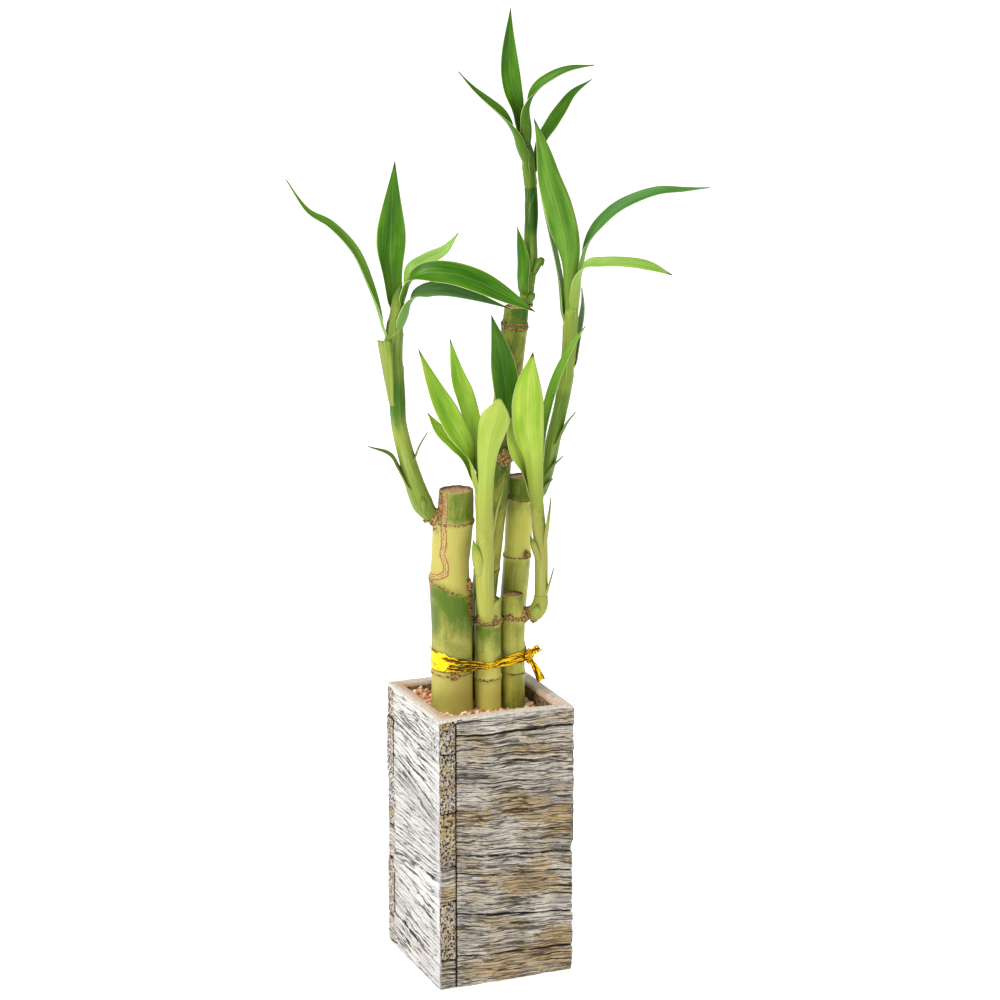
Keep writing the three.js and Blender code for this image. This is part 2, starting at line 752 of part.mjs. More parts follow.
// The pot: a square core, four walls of boards that lap at the corners, and a rim.
function potSolid() {
  const half = POT_WIDTH / 2;
  const core = half - CORE_INSET;
  let pot = box([-core, -core, 0], [core, core, POT_HEIGHT - RIM_HEIGHT + RIM_BEVEL]);
  for (let wall = 0; wall < 4; wall += 1) {
    BOARDS.forEach(({ from, face, end }, i) => {
      const low = i === 0 ? from : from + BOARD_JOINT / 2;
      const high = i + 1 < BOARDS.length ? BOARDS[i + 1].from - BOARD_JOINT / 2 : BOARD_TOP;
      pot = pot.add(boardSolid(low, high, face, end).rotate([0, 0, 90 * wall]));
    });
  }
  const rim = new THREE.ExtrudeGeometry(roundedSquare(half - RIM_INSET, CORNER_RADIUS), {
    depth: RIM_HEIGHT - 2 * RIM_BEVEL,
    bevelThickness: RIM_BEVEL,
    bevelSize: RIM_BEVEL,
    bevelOffset: -RIM_BEVEL,
    bevelSegments: 2,
    curveSegments: 3,
  });
  rim.translate(0, 0, POT_HEIGHT - RIM_HEIGHT + RIM_BEVEL);
  const mouth = new THREE.ExtrudeGeometry(roundedSquare(half - WALL, MOUTH_RADIUS), {
    depth: POT_HEIGHT,
    bevelEnabled: false,
    curveSegments: 2,
  });
  mouth.translate(0, 0, FLOOR);
  return pot.add(toSolid(rim)).subtract(toSolid(mouth));
}

// Height of the gravel above its mean level: grains, and a low mound at one corner.
function gravelRelief(x, y) {
  const grains = Math.sin(x * 2.9 + Math.sin(y * 1.7) * 2) * Math.cos(y * 2.6 + Math.sin(x * 1.9) * 2);
  return GRAIN * grains + (MOUND * (y - x)) / POT_WIDTH;
}

// The gravel: a block that fills the pot, grained on top, with a plain hole for each cane.
function gravelSolid(canes) {
  const width = POT_WIDTH - 2 * WALL - 2 * CLEAR;
  const bottom = FLOOR + CLEAR;
  const geometry = new THREE.BoxGeometry(
    width, width, GRAVEL_TOP - bottom, GRAVEL_CELLS, GRAVEL_CELLS, 1,
  );
  geometry.translate(0, 0, (GRAVEL_TOP + bottom) / 2);
  const place = geometry.attributes.position;
  for (let i = 0; i < place.count; i += 1) {
    if (place.getZ(i) > bottom + 1) {
      place.setZ(i, GRAVEL_TOP + gravelRelief(place.getX(i), place.getY(i)));
    }
  }
  const corners = new THREE.ExtrudeGeometry(roundedSquare(width / 2, MOUTH_RADIUS), {
    depth: 2 * POT_HEIGHT,
    bevelEnabled: false,
    curveSegments: 2,
  });
  let gravel = toSolid(geometry).intersect(toSolid(corners));
  for (const cane of canes) gravel = gravel.subtract(cane);
  return mainBody(gravel);
}

// The outline of a ribbon pulled tight round the canes: the convex hull of
// their sections at the band's height, each grown by a distance.
function tightOutline(grow) {
  const points = [];
  const height = (BAND_LOW + BAND_HIGH) / 2;
  for (const rings of Object.values(CANES)) {
    const above = rings.findIndex((ring) => ring[2] > height);
    const [a0, b0, z0, r0] = rings[above - 1];
    const [a1, b1, z1, r1] = rings[above];
    const share = (height - z0) / (z1 - z0);
    const radius = Math.max(r0, r1) + grow;
    for (let k = 0; k < OUTLINE_STEPS; k += 1) {
      const angle = (2 * Math.PI * k) / OUTLINE_STEPS;
      points.push(new THREE.Vector2(
        a0 + (a1 - a0) * share + radius * Math.cos(angle),
        b0 + (b1 - b0) * share + radius * Math.sin(angle),
      ));
    }
  }
  points.sort((p, q) => p.x - q.x || p.y - q.y);
  const turn = (o, p, q) => (p.x - o.x) * (q.y - o.y) - (p.y - o.y) * (q.x - o.x);
  const chain = (row) => row.reduce((kept, point) => {
    while (kept.length > 1 && turn(kept.at(-2), kept.at(-1), point) <= 0) kept.pop();
    kept.push(point);
    return kept;
  }, []);
  return [...chain(points).slice(0, -1), ...chain(points.slice().reverse()).slice(0, -1)];
}

// A flat band of ribbon round the canes between two heights.
function bandSolid(low, high) {
  const wall = (grow, from, to) => {
    const shape = new THREE.Shape(tightOutline(grow));
    const geometry = new THREE.ExtrudeGeometry(shape, { depth: to - from, bevelEnabled: false });
    geometry.translate(0, 0, from);
    return toSolid(geometry);
  };
  return wall(RIBBON_GAP + RIBBON, low, high).subtract(wall(RIBBON_GAP, low - 1, high + 1));
}

// The ribbon: a band round all the canes, broad where it laps on the thickest
// cane, with a knot at the right and two loose ends.
function ribbonSolid() {
  const lap = bandSolid(WRAP_LOW, WRAP_HIGH)
    .intersect(box([WRAP_LEFT, WRAP_LEFT, WRAP_LOW], [WRAP_RIGHT, WRAP_BACK, WRAP_HIGH]));
  let ribbon = bandSolid(BAND_LOW, BAND_HIGH).add(lap).add(roundBody(KNOT, KNOT_SIZE));
  for (const tail of TAILS) {
    ribbon = ribbon.add(bladeSolid({ ...tail, hug: 9, fold: 30, peak: 1.2, foot: 0.7 }, 4, SCALE_SPLITS));
  }
  return ribbon;
}

function material(color, roughness, metalness = 0) {
  return new THREE.MeshStandardMaterial({ color, roughness, metalness });
}

function addMesh(group, name, solid, look) {
  const mesh = new THREE.Mesh(toGeometry(solid), look);
  mesh.name = name;
  group.add(mesh);
}

const LEAF_COLOURS = { left: 0x3f7d2a, front: 0x86b548, right: 0x8fbd4e, back: 0x5b9433, tall: 0x4a8a2c };
const SHOOT_COLOURS = { left: 0x7fa05a, front: 0xb5c97a, right: 0xb4c878, back: 0x93ad55, tall: 0x6f9644 };
const CANE_COLOURS = { left: 0xa9b865, front: 0xb0bd6c, right: 0xb0bd6c, back: 0xbcc67c, tall: 0x8fa356 };

const bamboo = new THREE.Group();
const plant = new THREE.Group();
plant.rotation.z = PLANT_TURN;
bamboo.add(plant);

addMesh(bamboo, 'pot', potSolid(), material(0xb9b3a6, 0.85));
const turnDegrees = THREE.MathUtils.radToDeg(PLANT_TURN);
const holes = Object.values(CANES).map((rings) => caneSolid(rings, [], CLEAR).rotate([0, 0, turnDegrees]));
addMesh(bamboo, 'gravel', gravelSolid(holes), material(0xb08a78, 0.9));

for (const [name, rings] of Object.entries(CANES)) {
  addMesh(plant, `cane_${name}`, caneSolid(rings, BUDS[name]), material(CANE_COLOURS[name], 0.45));

  const caneRoom = caneSolid(rings, BUDS[name], CLEAR);
  let shoot = shootSolid(SHOOTS[name]).subtract(caneRoom);
  let taken = shootSolid(SHOOTS[name], CLEAR);
  for (const scale of SCALES[name]) {
    shoot = shoot.add(bladeSolid(scale, SCALE_STATIONS, SCALE_SPLITS));
    taken = taken.add(bladeSolid(scale, SCALE_STATIONS, SCALE_SPLITS, CLEAR));
  }
  shoot = mainBody(shoot.subtract(caneRoom));
  addMesh(plant, `shoot_${name}`, shoot, material(SHOOT_COLOURS[name], 0.5));

  // Each leaf is cut back from the shoot and from the leaves before it.
  LEAVES[name].map((leaf) => seated(leaf, SHOOTS[name])).forEach((leaf, i) => {
    const blade = mainBody(bladeSolid(leaf, BLADE_STATIONS, BLADE_SPLITS).subtract(taken));
    taken = taken.add(bladeSolid(leaf, BLADE_STATIONS, BLADE_SPLITS, CLEAR));
    addMesh(plant, `leaf_${name}_${i + 1}`, blade, material(LEAF_COLOURS[name], 0.45));
  });
}

addMesh(plant, 'ribbon_tie', ribbonSolid(), material(0xe0b020, 0.3, 0.9));

export default bamboo;
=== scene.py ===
"""Lucky bamboo in a square planter: the finished look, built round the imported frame.

The tables give places as (across, back, up) in millimetres, in the plant's own
directions, which are turned about Z against the planter. Meshes are shaped in
millimetres and brought to metres and to the frame's directions at the end.
"""

import logging
import math
import random
from dataclasses import dataclass, replace
from enum import Enum
from typing import Callable, Iterable, Sequence

import bmesh
import bpy
from mathutils import Matrix, Quaternion, Vector, noise


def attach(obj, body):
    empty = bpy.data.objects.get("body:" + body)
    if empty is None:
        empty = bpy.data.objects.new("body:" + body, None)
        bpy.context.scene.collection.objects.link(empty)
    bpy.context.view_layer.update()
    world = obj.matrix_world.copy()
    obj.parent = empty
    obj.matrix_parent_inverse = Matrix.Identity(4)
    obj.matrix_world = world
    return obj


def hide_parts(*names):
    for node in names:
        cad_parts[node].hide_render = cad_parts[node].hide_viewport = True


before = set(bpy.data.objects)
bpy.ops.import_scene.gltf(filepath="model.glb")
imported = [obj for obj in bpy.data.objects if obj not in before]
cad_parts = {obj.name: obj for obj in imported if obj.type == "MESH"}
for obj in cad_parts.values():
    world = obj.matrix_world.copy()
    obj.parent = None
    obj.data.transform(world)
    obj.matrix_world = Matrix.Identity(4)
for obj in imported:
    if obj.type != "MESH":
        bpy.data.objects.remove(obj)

log = logging.getLogger("bamboo")

Place = tuple[float, float, float]
Colour = tuple[float, float, float]
Ring = tuple[float, float, float, float, float]

MM = 0.001
PLANT_TURN = math.radians(-22.7)
ROOT = "root"
CLEAR = 0.3
BLADE = 0.8
WELD = 1e-4
RIM_TOP = 128.5
POT_HALF = 33.5
GRAVEL_TOP = 121.8
LEFT_WALL = 3
NO_SCAR = 4.0


class Turn(Enum):
    """The two sets of directions that pieces are shaped in."""

    PLANTER = 0.0
    PLANT = PLANT_TURN

    def to_frame(self) -> Matrix:
        """Returns the matrix from millimetres in these directions to the frame."""
        return Matrix.Rotation(self.value, 4, "Z") @ Matrix.Scale(MM, 4)


def smooth(low: float, high: float, value: float) -> float:
    """Returns a smooth rise from 0 at low to 1 at high."""
    t = min(max((value - low) / (high - low), 0.0), 1.0)
    return t * t * (3.0 - 2.0 * t)


def mix(a: float, b: float, share: float) -> float:
    """Returns the number that lies a share of the way from a to b."""
    return a + (b - a) * share


def by_height(marks: Sequence[tuple[float, float]], up: float) -> float:
    """Returns the number at a height, between marks of (height, number)."""
    for (low, before), (high, after) in zip(marks, marks[1:]):
        if up <= high:
            return mix(before, after, min(max((up - low) / (high - low), 0.0), 1.0))
    return marks[-1][1]


def grainy(x: float, y: float, z: float = 0.0) -> float:
    """Returns smooth noise between about -1 and 1 at a place."""
    return noise.noise(Vector((x, y, z)))


def rgb(red: int, green: int, blue: int) -> Colour:
    """Returns a display colour, given from 0 to 255, as the light it stands for."""

    def linear(value: int) -> float:
        share = value / 255.0
        return share / 12.92 if share <= 0.04045 else ((share + 0.055) / 1.055) ** 2.4

    return linear(red), linear(green), linear(blue)


class Signal:
    """A shader socket that takes part in Python arithmetic."""

    def __init__(self, looks: "Looks", socket: bpy.types.NodeSocket) -> None:
        """Wraps a socket.

        Args:
            looks: The material that the socket belongs to.
            socket: An output socket.
        """
        self.looks = looks
        self.socket = socket

    def _math(self, operation: str, *values: "Signal | float") -> "Signal":
        """Adds one Math node and returns its result."""
        inputs = {i: value for i, value in enumerate(values)}
        return self.looks.node("ShaderNodeMath", {"operation": operation}, inputs)

    def __add__(self, other: "Signal | float") -> "Signal":
        """Returns the sum."""
        return self._math("ADD", self, other)

    def __sub__(self, other: "Signal | float") -> "Signal":
        """Returns the difference."""
        return self._math("SUBTRACT", self, other)

    def __rsub__(self, other: float) -> "Signal":
        """Returns a number less this signal."""
        return self._math("SUBTRACT", other, self)

    def __mul__(self, other: "Signal | float") -> "Signal":
        """Returns the product."""
        return self._math("MULTIPLY", self, other)

    def __abs__(self) -> "Signal":
        """Returns the size without the sign."""
        return self._math("ABSOLUTE", self)

    def rounded(self, operation: str) -> "Signal":
        """Returns the whole part (FLOOR) or the rest (FRACT)."""
        return self._math(operation, self)

    __radd__ = __add__
    __rmul__ = __mul__

    def rise(self, low: float, high: float) -> "Signal":
        """Returns a smooth rise from 0 at low to 1 at high, either way round."""
        settings = {"interpolation_type": "SMOOTHSTEP"}
        if low < high:
            ends = {"From Min": low, "From Max": high, "To Min": 0.0, "To Max": 1.0}
        else:
            ends = {"From Min": high, "From Max": low, "To Min": 1.0, "To Max": 0.0}
        return self.looks.node("ShaderNodeMapRange", settings, {"Value": self, **ends})


class Looks:
    """A procedural material, built node by node."""

    def __init__(self, name: str) -> None:
        """Makes an empty material with its shader.

        Args:
            name: The material's name.
        """
        self.material = bpy.data.materials.new(name)
        self.material.use_nodes = True
        self.tree = self.material.node_tree
        self.tree.nodes.clear()
        output = self.tree.nodes.new("ShaderNodeOutputMaterial")
        self.shader = self.tree.nodes.new("ShaderNodeBsdfPrincipled")
        self.tree.links.new(self.shader.outputs[0], output.inputs["Surface"])

    def node(self, kind: str, settings: dict, inputs: dict, output: int | str = 0) -> Signal:
        """Adds a node.

        Args:
            kind: The node's type.
            settings: Its own settings, set before the sockets.
            inputs: Values or signals by socket name or number.
            output: The socket that is returned.

        Returns:
            The wanted output as a signal.
        """
        made = self.tree.nodes.new(kind)
        for key, value in settings.items():
            setattr(made, key, value)
        for key, value in inputs.items():
            self.feed(made.inputs[key], value)
        return Signal(self, made.outputs[output])

    def feed(self, socket: bpy.types.NodeSocket, value: object) -> None:
        """Links a signal to a socket, or sets the socket's own value."""
        if isinstance(value, Signal):
            self.tree.links.new(value.socket, socket)
        elif isinstance(value, tuple) and len(value) == 3 and socket.type == "RGBA":
            socket.default_value = (*value, 1.0)
        else:
            socket.default_value = value

    def trait(self, name: str) -> Signal:
        """Returns a number that the mesh holds at each point."""
        return self.node("ShaderNodeAttribute", {"attribute_name": name}, {}, "Fac")

    def surface(self) -> Signal:
        """Returns the place on the piece's own map, in millimetres."""
        return self.node("ShaderNodeUVMap", {"uv_map": "map"}, {})

    def space(self) -> Signal:
        """Returns the place in the object, in millimetres."""
        place = self.node("ShaderNodeTexCoord", {}, {}, "Object")
        scale = {0: place, "Scale": 1.0 / MM}
        return self.node("ShaderNodeVectorMath", {"operation": "SCALE"}, scale)

    def stretch(self, place: Signal, scale: Place) -> Signal:
        """Returns a place with each direction scaled by itself."""
        return self.node("ShaderNodeMapping", {}, {"Vector": place, "Scale": scale})

    def cloud(self, place: Signal, scale: Place, detail: float = 2.0, bend: float = 0.0) -> Signal:
        """Returns noise between 0 and 1.

        Args:
            place: Where it is read, in millimetres.
            scale: How many lumps there are to a millimetre, each way.
            detail: How many finer layers are added.
            bend: How far the lumps are bent out of line.
        """
        values = {"Vector": self.stretch(place, scale), "Scale": 1.0, "Detail": detail, "Distortion": bend}
        return self.node("ShaderNodeTexNoise", {}, values)

    def part(self, place: Signal, axis: str) -> Signal:
        """Returns one coordinate of a place."""
        return self.node("ShaderNodeSeparateXYZ", {}, {0: place}, axis)

    def threads(self, place: Signal, pitch: float, length: float, sway: float,
                seed: float) -> tuple[Signal, Signal]:
        """Lays rows of long threads along the first direction of a place.

        Args:
            place: Where they are read, in millimetres.
            pitch: The distance between rows.
            length: About how long a thread keeps its own character.
            sway: How far the rows wander, in millimetres.
            seed: Sets this lot of rows apart.

        Returns:
            How near the edge of its row a place is, which is 1 on the edge, and
            a number from 0 to 1 that varies along and between the rows.
        """
        wander = self.cloud(place, (0.02, 0.035, 1.0), 3.0) * (sway / pitch)
        phase = self.part(place, "Y") * (1.0 / pitch) + wander + seed
        row = phase.rounded("FLOOR")
        edge = abs(phase.rounded("FRACT") - 0.5) * 2.0
        steps = {0: self.part(place, "X") * (1.0 / length), 1: row * 3.7, 2: seed}
        spot = self.node("ShaderNodeCombineXYZ", {}, steps)
        own = self.node("ShaderNodeTexNoise", {}, {"Vector": spot, "Scale": 1.0, "Detail": 2.0})
        return edge, own

    def moved(self, place: Signal, by: Signal) -> Signal:
        """Returns a place moved alike in every direction."""
        return self.node("ShaderNodeVectorMath", {"operation": "ADD"}, {0: place, 1: by})

    def cells(self, place: Signal, scale: Place) -> Signal:
        """Returns the distance to the nearest of many scattered points."""
        values = {"Vector": self.stretch(place, scale), "Scale": 1.0}
        return self.node("ShaderNodeTexVoronoi", {}, values)

    def blend(self, a: "Signal | Colour", b: "Signal | Colour", share: Signal) -> Signal:
        """Returns colour a, turned into colour b where share is 1."""
        settings = {"data_type": "RGBA"}
        return self.node("ShaderNodeMix", settings, {0: share, 6: a, 7: b}, 2)

    def relief(self, height: Signal, depth: float) -> None:
        """Gives the shader fine relief of a depth in millimetres."""
        values = {"Height": height, "Distance": depth * MM, "Strength": 1.0}
        self.feed(self.shader.inputs["Normal"], self.node("ShaderNodeBump", {}, values))

    def finish(self, colour: Signal, roughness: "Signal | float", **uniform: float) -> bpy.types.Material:
        """Feeds the shader and returns the material.

        Args:
            colour: The base colour.
            roughness: The roughness.
            uniform: Values that are the same all over, by socket with underscores.

        Returns:
            The finished material.
        """
        self.feed(self.shader.inputs["Base Color"], colour)
        self.feed(self.shader.inputs["Roughness"], roughness)
        for key, value in uniform.items():
            self.shader.inputs[key.replace("_", " ")].default_value = value
        return self.material


@dataclass(frozen=True)
class LeafFinish:
    """A long leaf: fine parallel veins, a pale thin margin and a dark tip."""

    name: str
    deep: Colour
    light: Colour
    foot: Colour
    margin: Colour = rgb(214, 226, 150)
    tip: Colour = rgb(44, 52, 24)

    def make(self) -> bpy.types.Material:
        """Returns the material."""
        looks = Looks(self.name)
        place = looks.surface()
        across = abs(looks.trait("across"))
        along = looks.trait("along")
        veins = looks.cloud(place, (1.9, 0.045, 1.0), 3.0)
        drift = looks.cloud(place, (0.16, 0.035, 1.0), 2.0)
        colour = looks.blend(self.deep, self.light, (veins * 0.4 + drift * 0.75 - 0.08).rise(0.28, 0.74))
        colour = looks.blend(colour, self.margin, (across + veins * 0.02).rise(0.06, 0.01) * 0.12)
        colour = looks.blend(colour, self.foot, along.rise(0.3, 0.02))
        edge = (across + veins * 0.03).rise(0.93, 0.99)
        colour = looks.blend(colour, self.margin, edge * 0.8)
        colour = looks.blend(colour, self.tip, (along + veins * 0.03).rise(0.955, 0.995))
        fine = looks.cloud(place, (3.2, 0.03, 1.0), 1.0)
        looks.relief(fine + veins * 0.8, 0.09)
        return looks.finish(colour, veins * 0.14 + 0.3, Specular_IOR_Level=0.16)


@dataclass(frozen=True)
class ShootFinish:
    """A green shoot: fine lengthwise streaks and pale edges of its sheaths."""

    name: str
    low: Colour
    high: Colour
    leaf: Colour
    margin: Colour = rgb(212, 222, 158)
    scar: Colour = rgb(122, 94, 50)

    def make(self) -> bpy.types.Material:
        """Returns the material."""
        looks = Looks(self.name)
        place = looks.surface()
        streaks = looks.cloud(place, (1.5, 0.05, 1.0), 3.0)
        patches = looks.cloud(place, (0.2, 0.05, 1.0), 2.0)
        deep = looks.trait("deep") + patches * 0.7 - 0.35
        colour = looks.blend(self.low, self.high, deep.rise(0.0, 1.0))
        colour = looks.blend(colour, self.margin, streaks.rise(0.5, 0.75) * 0.22)
        colour = looks.blend(colour, self.high, streaks.rise(0.46, 0.28) * 0.6)
        edge = looks.trait("edge")
        colour = looks.blend(colour, self.margin, edge.rise(0.4, 0.1) * 0.18)
        ring = looks.trait("ring") + patches * 0.5
        colour = looks.blend(colour, self.scar, ring.rise(0.5, 0.3) * 0.6)
        leafy = looks.trait("leafy")
        colour = looks.blend(colour, self.leaf, leafy.rise(0.35, 1.0))
        colour = looks.blend(colour, self.scar, leafy.rise(0.93, 1.0) * 0.7)
        looks.relief(streaks, 0.15)
        return looks.finish(colour, patches * 0.15 + 0.3, Specular_IOR_Level=0.16)


@dataclass(frozen=True)
class CaneFinish:
    """A cut cane: yellow-green skin, green clouds, bark-brown nodes and scars."""

    name: str
    skin: Colour
    green: Colour
    bark: Colour = rgb(158, 116, 74)
    dark: Colour = rgb(88, 58, 32)
    pith: Colour = rgb(206, 176, 130)
    orange: Colour = rgb(146, 90, 48)

    def make(self) -> bpy.types.Material:
        """Returns the material."""
        looks = Looks(self.name)
        place = looks.surface()
        solid = looks.space()
        streaks = looks.cloud(place, (0.8, 0.035, 1.0), 3.0)
        speckle = looks.cloud(place, (1.1, 0.6, 1.0), 4.0)
        clouds = looks.cloud(place, (0.13, 0.06, 1.0), 3.0, 0.6)
        mottle = clouds * 1.5 + speckle * 0.5 + streaks * 0.5 - 1.25
        tint = looks.trait("green")
        colour = looks.blend(self.skin, self.green, (tint + mottle * (tint * 0.7 + 0.3)).rise(0.0, 1.0))
        dots = looks.cells(place, (0.7, 0.35, 1.0))
        colour = looks.blend(colour, self.bark, dots.rise(0.12, 0.04) * 0.5)
        lumps = looks.cloud(solid, (1.1, 1.1, 1.1), 4.0)
        scar = looks.trait("scar") + lumps * 1.4 - 0.7
        colour = looks.blend(colour, self.pith, scar.rise(1.5, 1.1) * 0.4)
        colour = looks.blend(colour, self.orange, abs(scar - 1.05).rise(0.5, 0.15) * 0.95)
        colour = looks.blend(colour, self.dark, abs(scar - 0.25).rise(0.2, 0.02) * 0.7)
        bark = looks.trait("bark") + lumps * 0.9 - 0.45
        brown = looks.blend(self.bark, self.dark, lumps.rise(0.46, 0.58))
        brown = looks.blend(brown, self.pith, lumps.rise(0.47, 0.36) * 0.6)
        colour = looks.blend(colour, brown, bark.rise(0.4, 0.65) * 0.9)
        cut = looks.trait("cut")
        face = looks.blend(self.pith, self.bark, looks.cloud(solid, (1.3, 1.3, 0.4), 4.0).rise(0.4, 0.6))
        face = looks.blend(face, self.dark, cut.rise(0.95, 0.65) * 0.85)
        colour = looks.blend(colour, face, cut.rise(0.45, 0.55))
        looks.relief(streaks * 0.3 + lumps * bark.rise(0.3, 0.8) + speckle * 0.15, 0.5)
        rough = bark.rise(0.35, 0.7) * 0.35 + streaks * 0.12 + 0.34
        return looks.finish(colour, rough, Specular_IOR_Level=0.2)


@dataclass(frozen=True)
class BoardFinish:
    """Weathered, whitewashed boards: rough fibres, dark cracks, ochre stains."""

    name: str
    wash: Colour = rgb(210, 202, 190)
    grey: Colour = rgb(175, 165, 150)
    chalk: Colour = rgb(228, 228, 230)
    ochre: Colour = rgb(182, 150, 88)
    blue: Colour = rgb(136, 140, 148)
    deep: Colour = rgb(86, 80, 73)
    crack: Colour = rgb(30, 26, 23)
    rust: Colour = rgb(156, 84, 28)

    def make(self) -> bpy.types.Material:
        """Returns the material."""
        looks = Looks(self.name)
        place = looks.surface()
        white = looks.trait("white")
        spots = looks.cloud(place, (0.6, 0.8, 1.0), 4.0)
        patches = looks.cloud(place, (0.03, 0.09, 1.0), 4.0, 0.8)
        stains = looks.cloud(place, (0.05, 0.1, 2.0), 5.0, 0.8)
        rough = looks.cloud(place, (0.04, 0.1, 5.0), 3.0, 0.5)
        fibres = looks.cloud(place, (0.16, 2.4, 1.0), 6.0, 0.4)
        crumbs = looks.cloud(place, (0.5, 1.0, 3.0), 5.0, 0.6)
        seams = abs(looks.cloud(place, (0.026, 0.36, 7.0), 4.0, 0.15) - 0.5)
        hairs = abs(looks.cloud(place, (0.07, 1.0, 2.0), 4.0, 0.2) - 0.5)
        wide, own = looks.threads(place, 3.9, 24.0, 9.0, 0.0)
        wide = (wide + own * 1.5 - 0.75).rise(0.93, 1.03)
        thin, own = looks.threads(place, 2.1, 14.0, 7.0, 5.0)
        thin = (thin + own * 1.6 - 0.8).rise(0.92, 1.02)
        calm = white.rise(0.03, 0.08)
        loud = 1.0 - calm * 0.7
        # A thin band just beside each seam: painted highlight on the lit side of the ridge
        painted_ridge_highlight = abs(seams - rough * 0.05 - 0.025).rise(0.02, 0.0)
        seams = (seams - rough * 0.05).rise(0.0, -0.012)
        hairs = (hairs - rough * 0.06).rise(0.0, -0.02)
        tone = fibres * 0.5 + crumbs * 0.2 + patches * 0.3 + white
        colour = looks.blend(self.grey, self.wash, tone.rise(0.4, 0.55))
        colour = looks.blend(colour, self.chalk, calm * 0.5)
        cold = patches * 0.9 + spots * 0.3 + white * 2.0
        colour = looks.blend(colour, self.blue, cold.rise(0.52, 0.36) * 0.5)
        ochre = (stains * 0.8 + spots * 0.55 + fibres * 0.5 + looks.trait("stain")).rise(0.97, 1.2) * 0.8
        colour = looks.blend(colour, self.ochre, ochre)
        rust = (looks.trait("rust") + spots * 0.8 + fibres * 0.3).rise(0.95, 1.25) * 0.85
        colour = looks.blend(colour, self.rust, rust)
        pitted = looks.trait("pitted")
        plain = 1.0 - pitted
        hollow = fibres * 0.65 + crumbs * 0.35 + white
        colour = looks.blend(colour, self.deep, hollow.rise(0.42, 0.35) * loud * 0.4)
        # Painted highlight beside the seams
        colour = looks.blend(colour, self.wash, painted_ridge_highlight * plain * 0.5)
        colour = looks.blend(colour, self.crack, hairs * plain * loud * 0.5)
        colour = looks.blend(colour, self.crack, seams * plain * 0.75)
        colour = looks.blend(colour, self.crack, thin * plain * 0.65)
        colour = looks.blend(colour, self.crack, wide * plain * 0.9)
        pits = looks.cells(looks.moved(place, spots * 1.6), (0.8, 0.7, 0.85))
        squiggles = looks.cloud(place, (0.9, 0.8, 1.0), 3.0, 1.2)
        colour = looks.blend(colour, self.deep, squiggles.rise(0.52, 0.44) * pitted * 0.7)
        colour = looks.blend(colour, self.crack, pits.rise(0.5, 0.32) * pitted * 0.95)
        depth = looks.trait("depth") + spots * 0.3 - 0.15
        colour = looks.blend(colour, self.crack, depth.rise(0.46, 0.76) * 0.95)
        # Lighter at the ends of each wall and the top edge: wear, and on the left wall a broad band towards
        # the near front corner that is a painted highlight
        worn = (looks.trait("worn") + spots * 0.9 - 0.45).rise(0.3, 0.75) * plain
        colour = looks.blend(colour, looks.blend(self.wash, self.chalk, calm), worn * 0.65)
        lines = 2.0 - wide - thin * 0.8 - seams * 0.7 - hairs * loud * 0.4
        height = lines * plain + pits.rise(0.1, 0.5) * pitted * 1.5 + fibres * 1.2 + crumbs
        looks.relief(height, 0.6)
        return looks.finish(colour, spots * 0.2 + 0.7, Specular_IOR_Level=0.25)


@dataclass(frozen=True)
class PlasterFinish:
    """The rim and the inside of the planter: smooth cast plaster, with painted shade down the inner wall."""

    name: str
    cream: Colour = rgb(214, 202, 186)
    pink: Colour = rgb(206, 162, 126)
    grey: Colour = rgb(178, 168, 156)
    white: Colour = rgb(222, 216, 206)
    # Browns of the inner wall's painted shade; the darker one also fills small pits
    inside: Colour = rgb(150, 128, 98)
    stain: Colour = rgb(84, 68, 50)

    def make(self) -> bpy.types.Material:
        """Returns the material."""
        looks = Looks(self.name)
        solid = looks.space()
        wide = looks.cloud(solid, (0.06, 0.06, 0.3), 3.0, 0.5)
        spots = looks.cloud(solid, (0.5, 0.5, 0.6), 4.0)
        fine = looks.cloud(solid, (1.6, 1.6, 1.6), 3.0)
        pits = looks.cells(solid, (0.3, 0.3, 0.5))
        warm = wide + spots * 0.4 + looks.trait("warm") * 0.3
        colour = looks.blend(self.cream, self.pink, warm.rise(0.72, 0.98) * 0.75)
        colour = looks.blend(colour, self.grey, (spots * 0.7 + fine * 0.3).rise(0.48, 0.6) * 0.7)
        outer = looks.trait("outer")
        worn = looks.blend(self.white, self.grey, fine.rise(0.45, 0.6))
        colour = looks.blend(colour, worn, (outer + spots * 0.5 - 0.25).rise(0.2, 0.8) * 0.8)
        # The inner wall below the lip is painted darker brown with dark blotches: painted shade inside the
        # planter
        low = looks.trait("inside")
        inner_wall_shade = looks.blend(self.inside, self.stain, spots.rise(0.42, 0.6))
        colour = looks.blend(colour, inner_wall_shade, (low + spots * 0.6 - 0.3).rise(0.25, 0.6))
        colour = looks.blend(colour, self.stain, pits.rise(0.1, 0.05) * 0.8)
        looks.relief(spots * 0.5 + fine * 0.25 + pits.rise(0.05, 0.15) * 0.4, 0.6)
        return looks.finish(colour, spots * 0.2 + 0.6, Specular_IOR_Level=0.4)


@dataclass(frozen=True)
class GravelFinish:
    """Small pinkish-brown stones, each with its own tone."""

    name: str
    pink: Colour = rgb(242, 198, 150)
    brown: Colour = rgb(188, 130, 88)
    pale: Colour = rgb(246, 228, 204)

    def make(self) -> bpy.types.Material:
        """Returns the material."""
        looks = Looks(self.name)
        tone = looks.trait("tone")
        spots = looks.cloud(looks.space(), (1.6, 1.6, 1.6), 3.0)
        colour = looks.blend(self.brown, self.pink, (tone + spots * 0.5 - 0.25).rise(0.1, 0.7))
        colour = looks.blend(colour, self.pale, (tone + spots * 0.3).rise(0.85, 1.1))
        looks.relief(spots, 0.3)
        return looks.finish(colour, spots * 0.2 + 0.66)


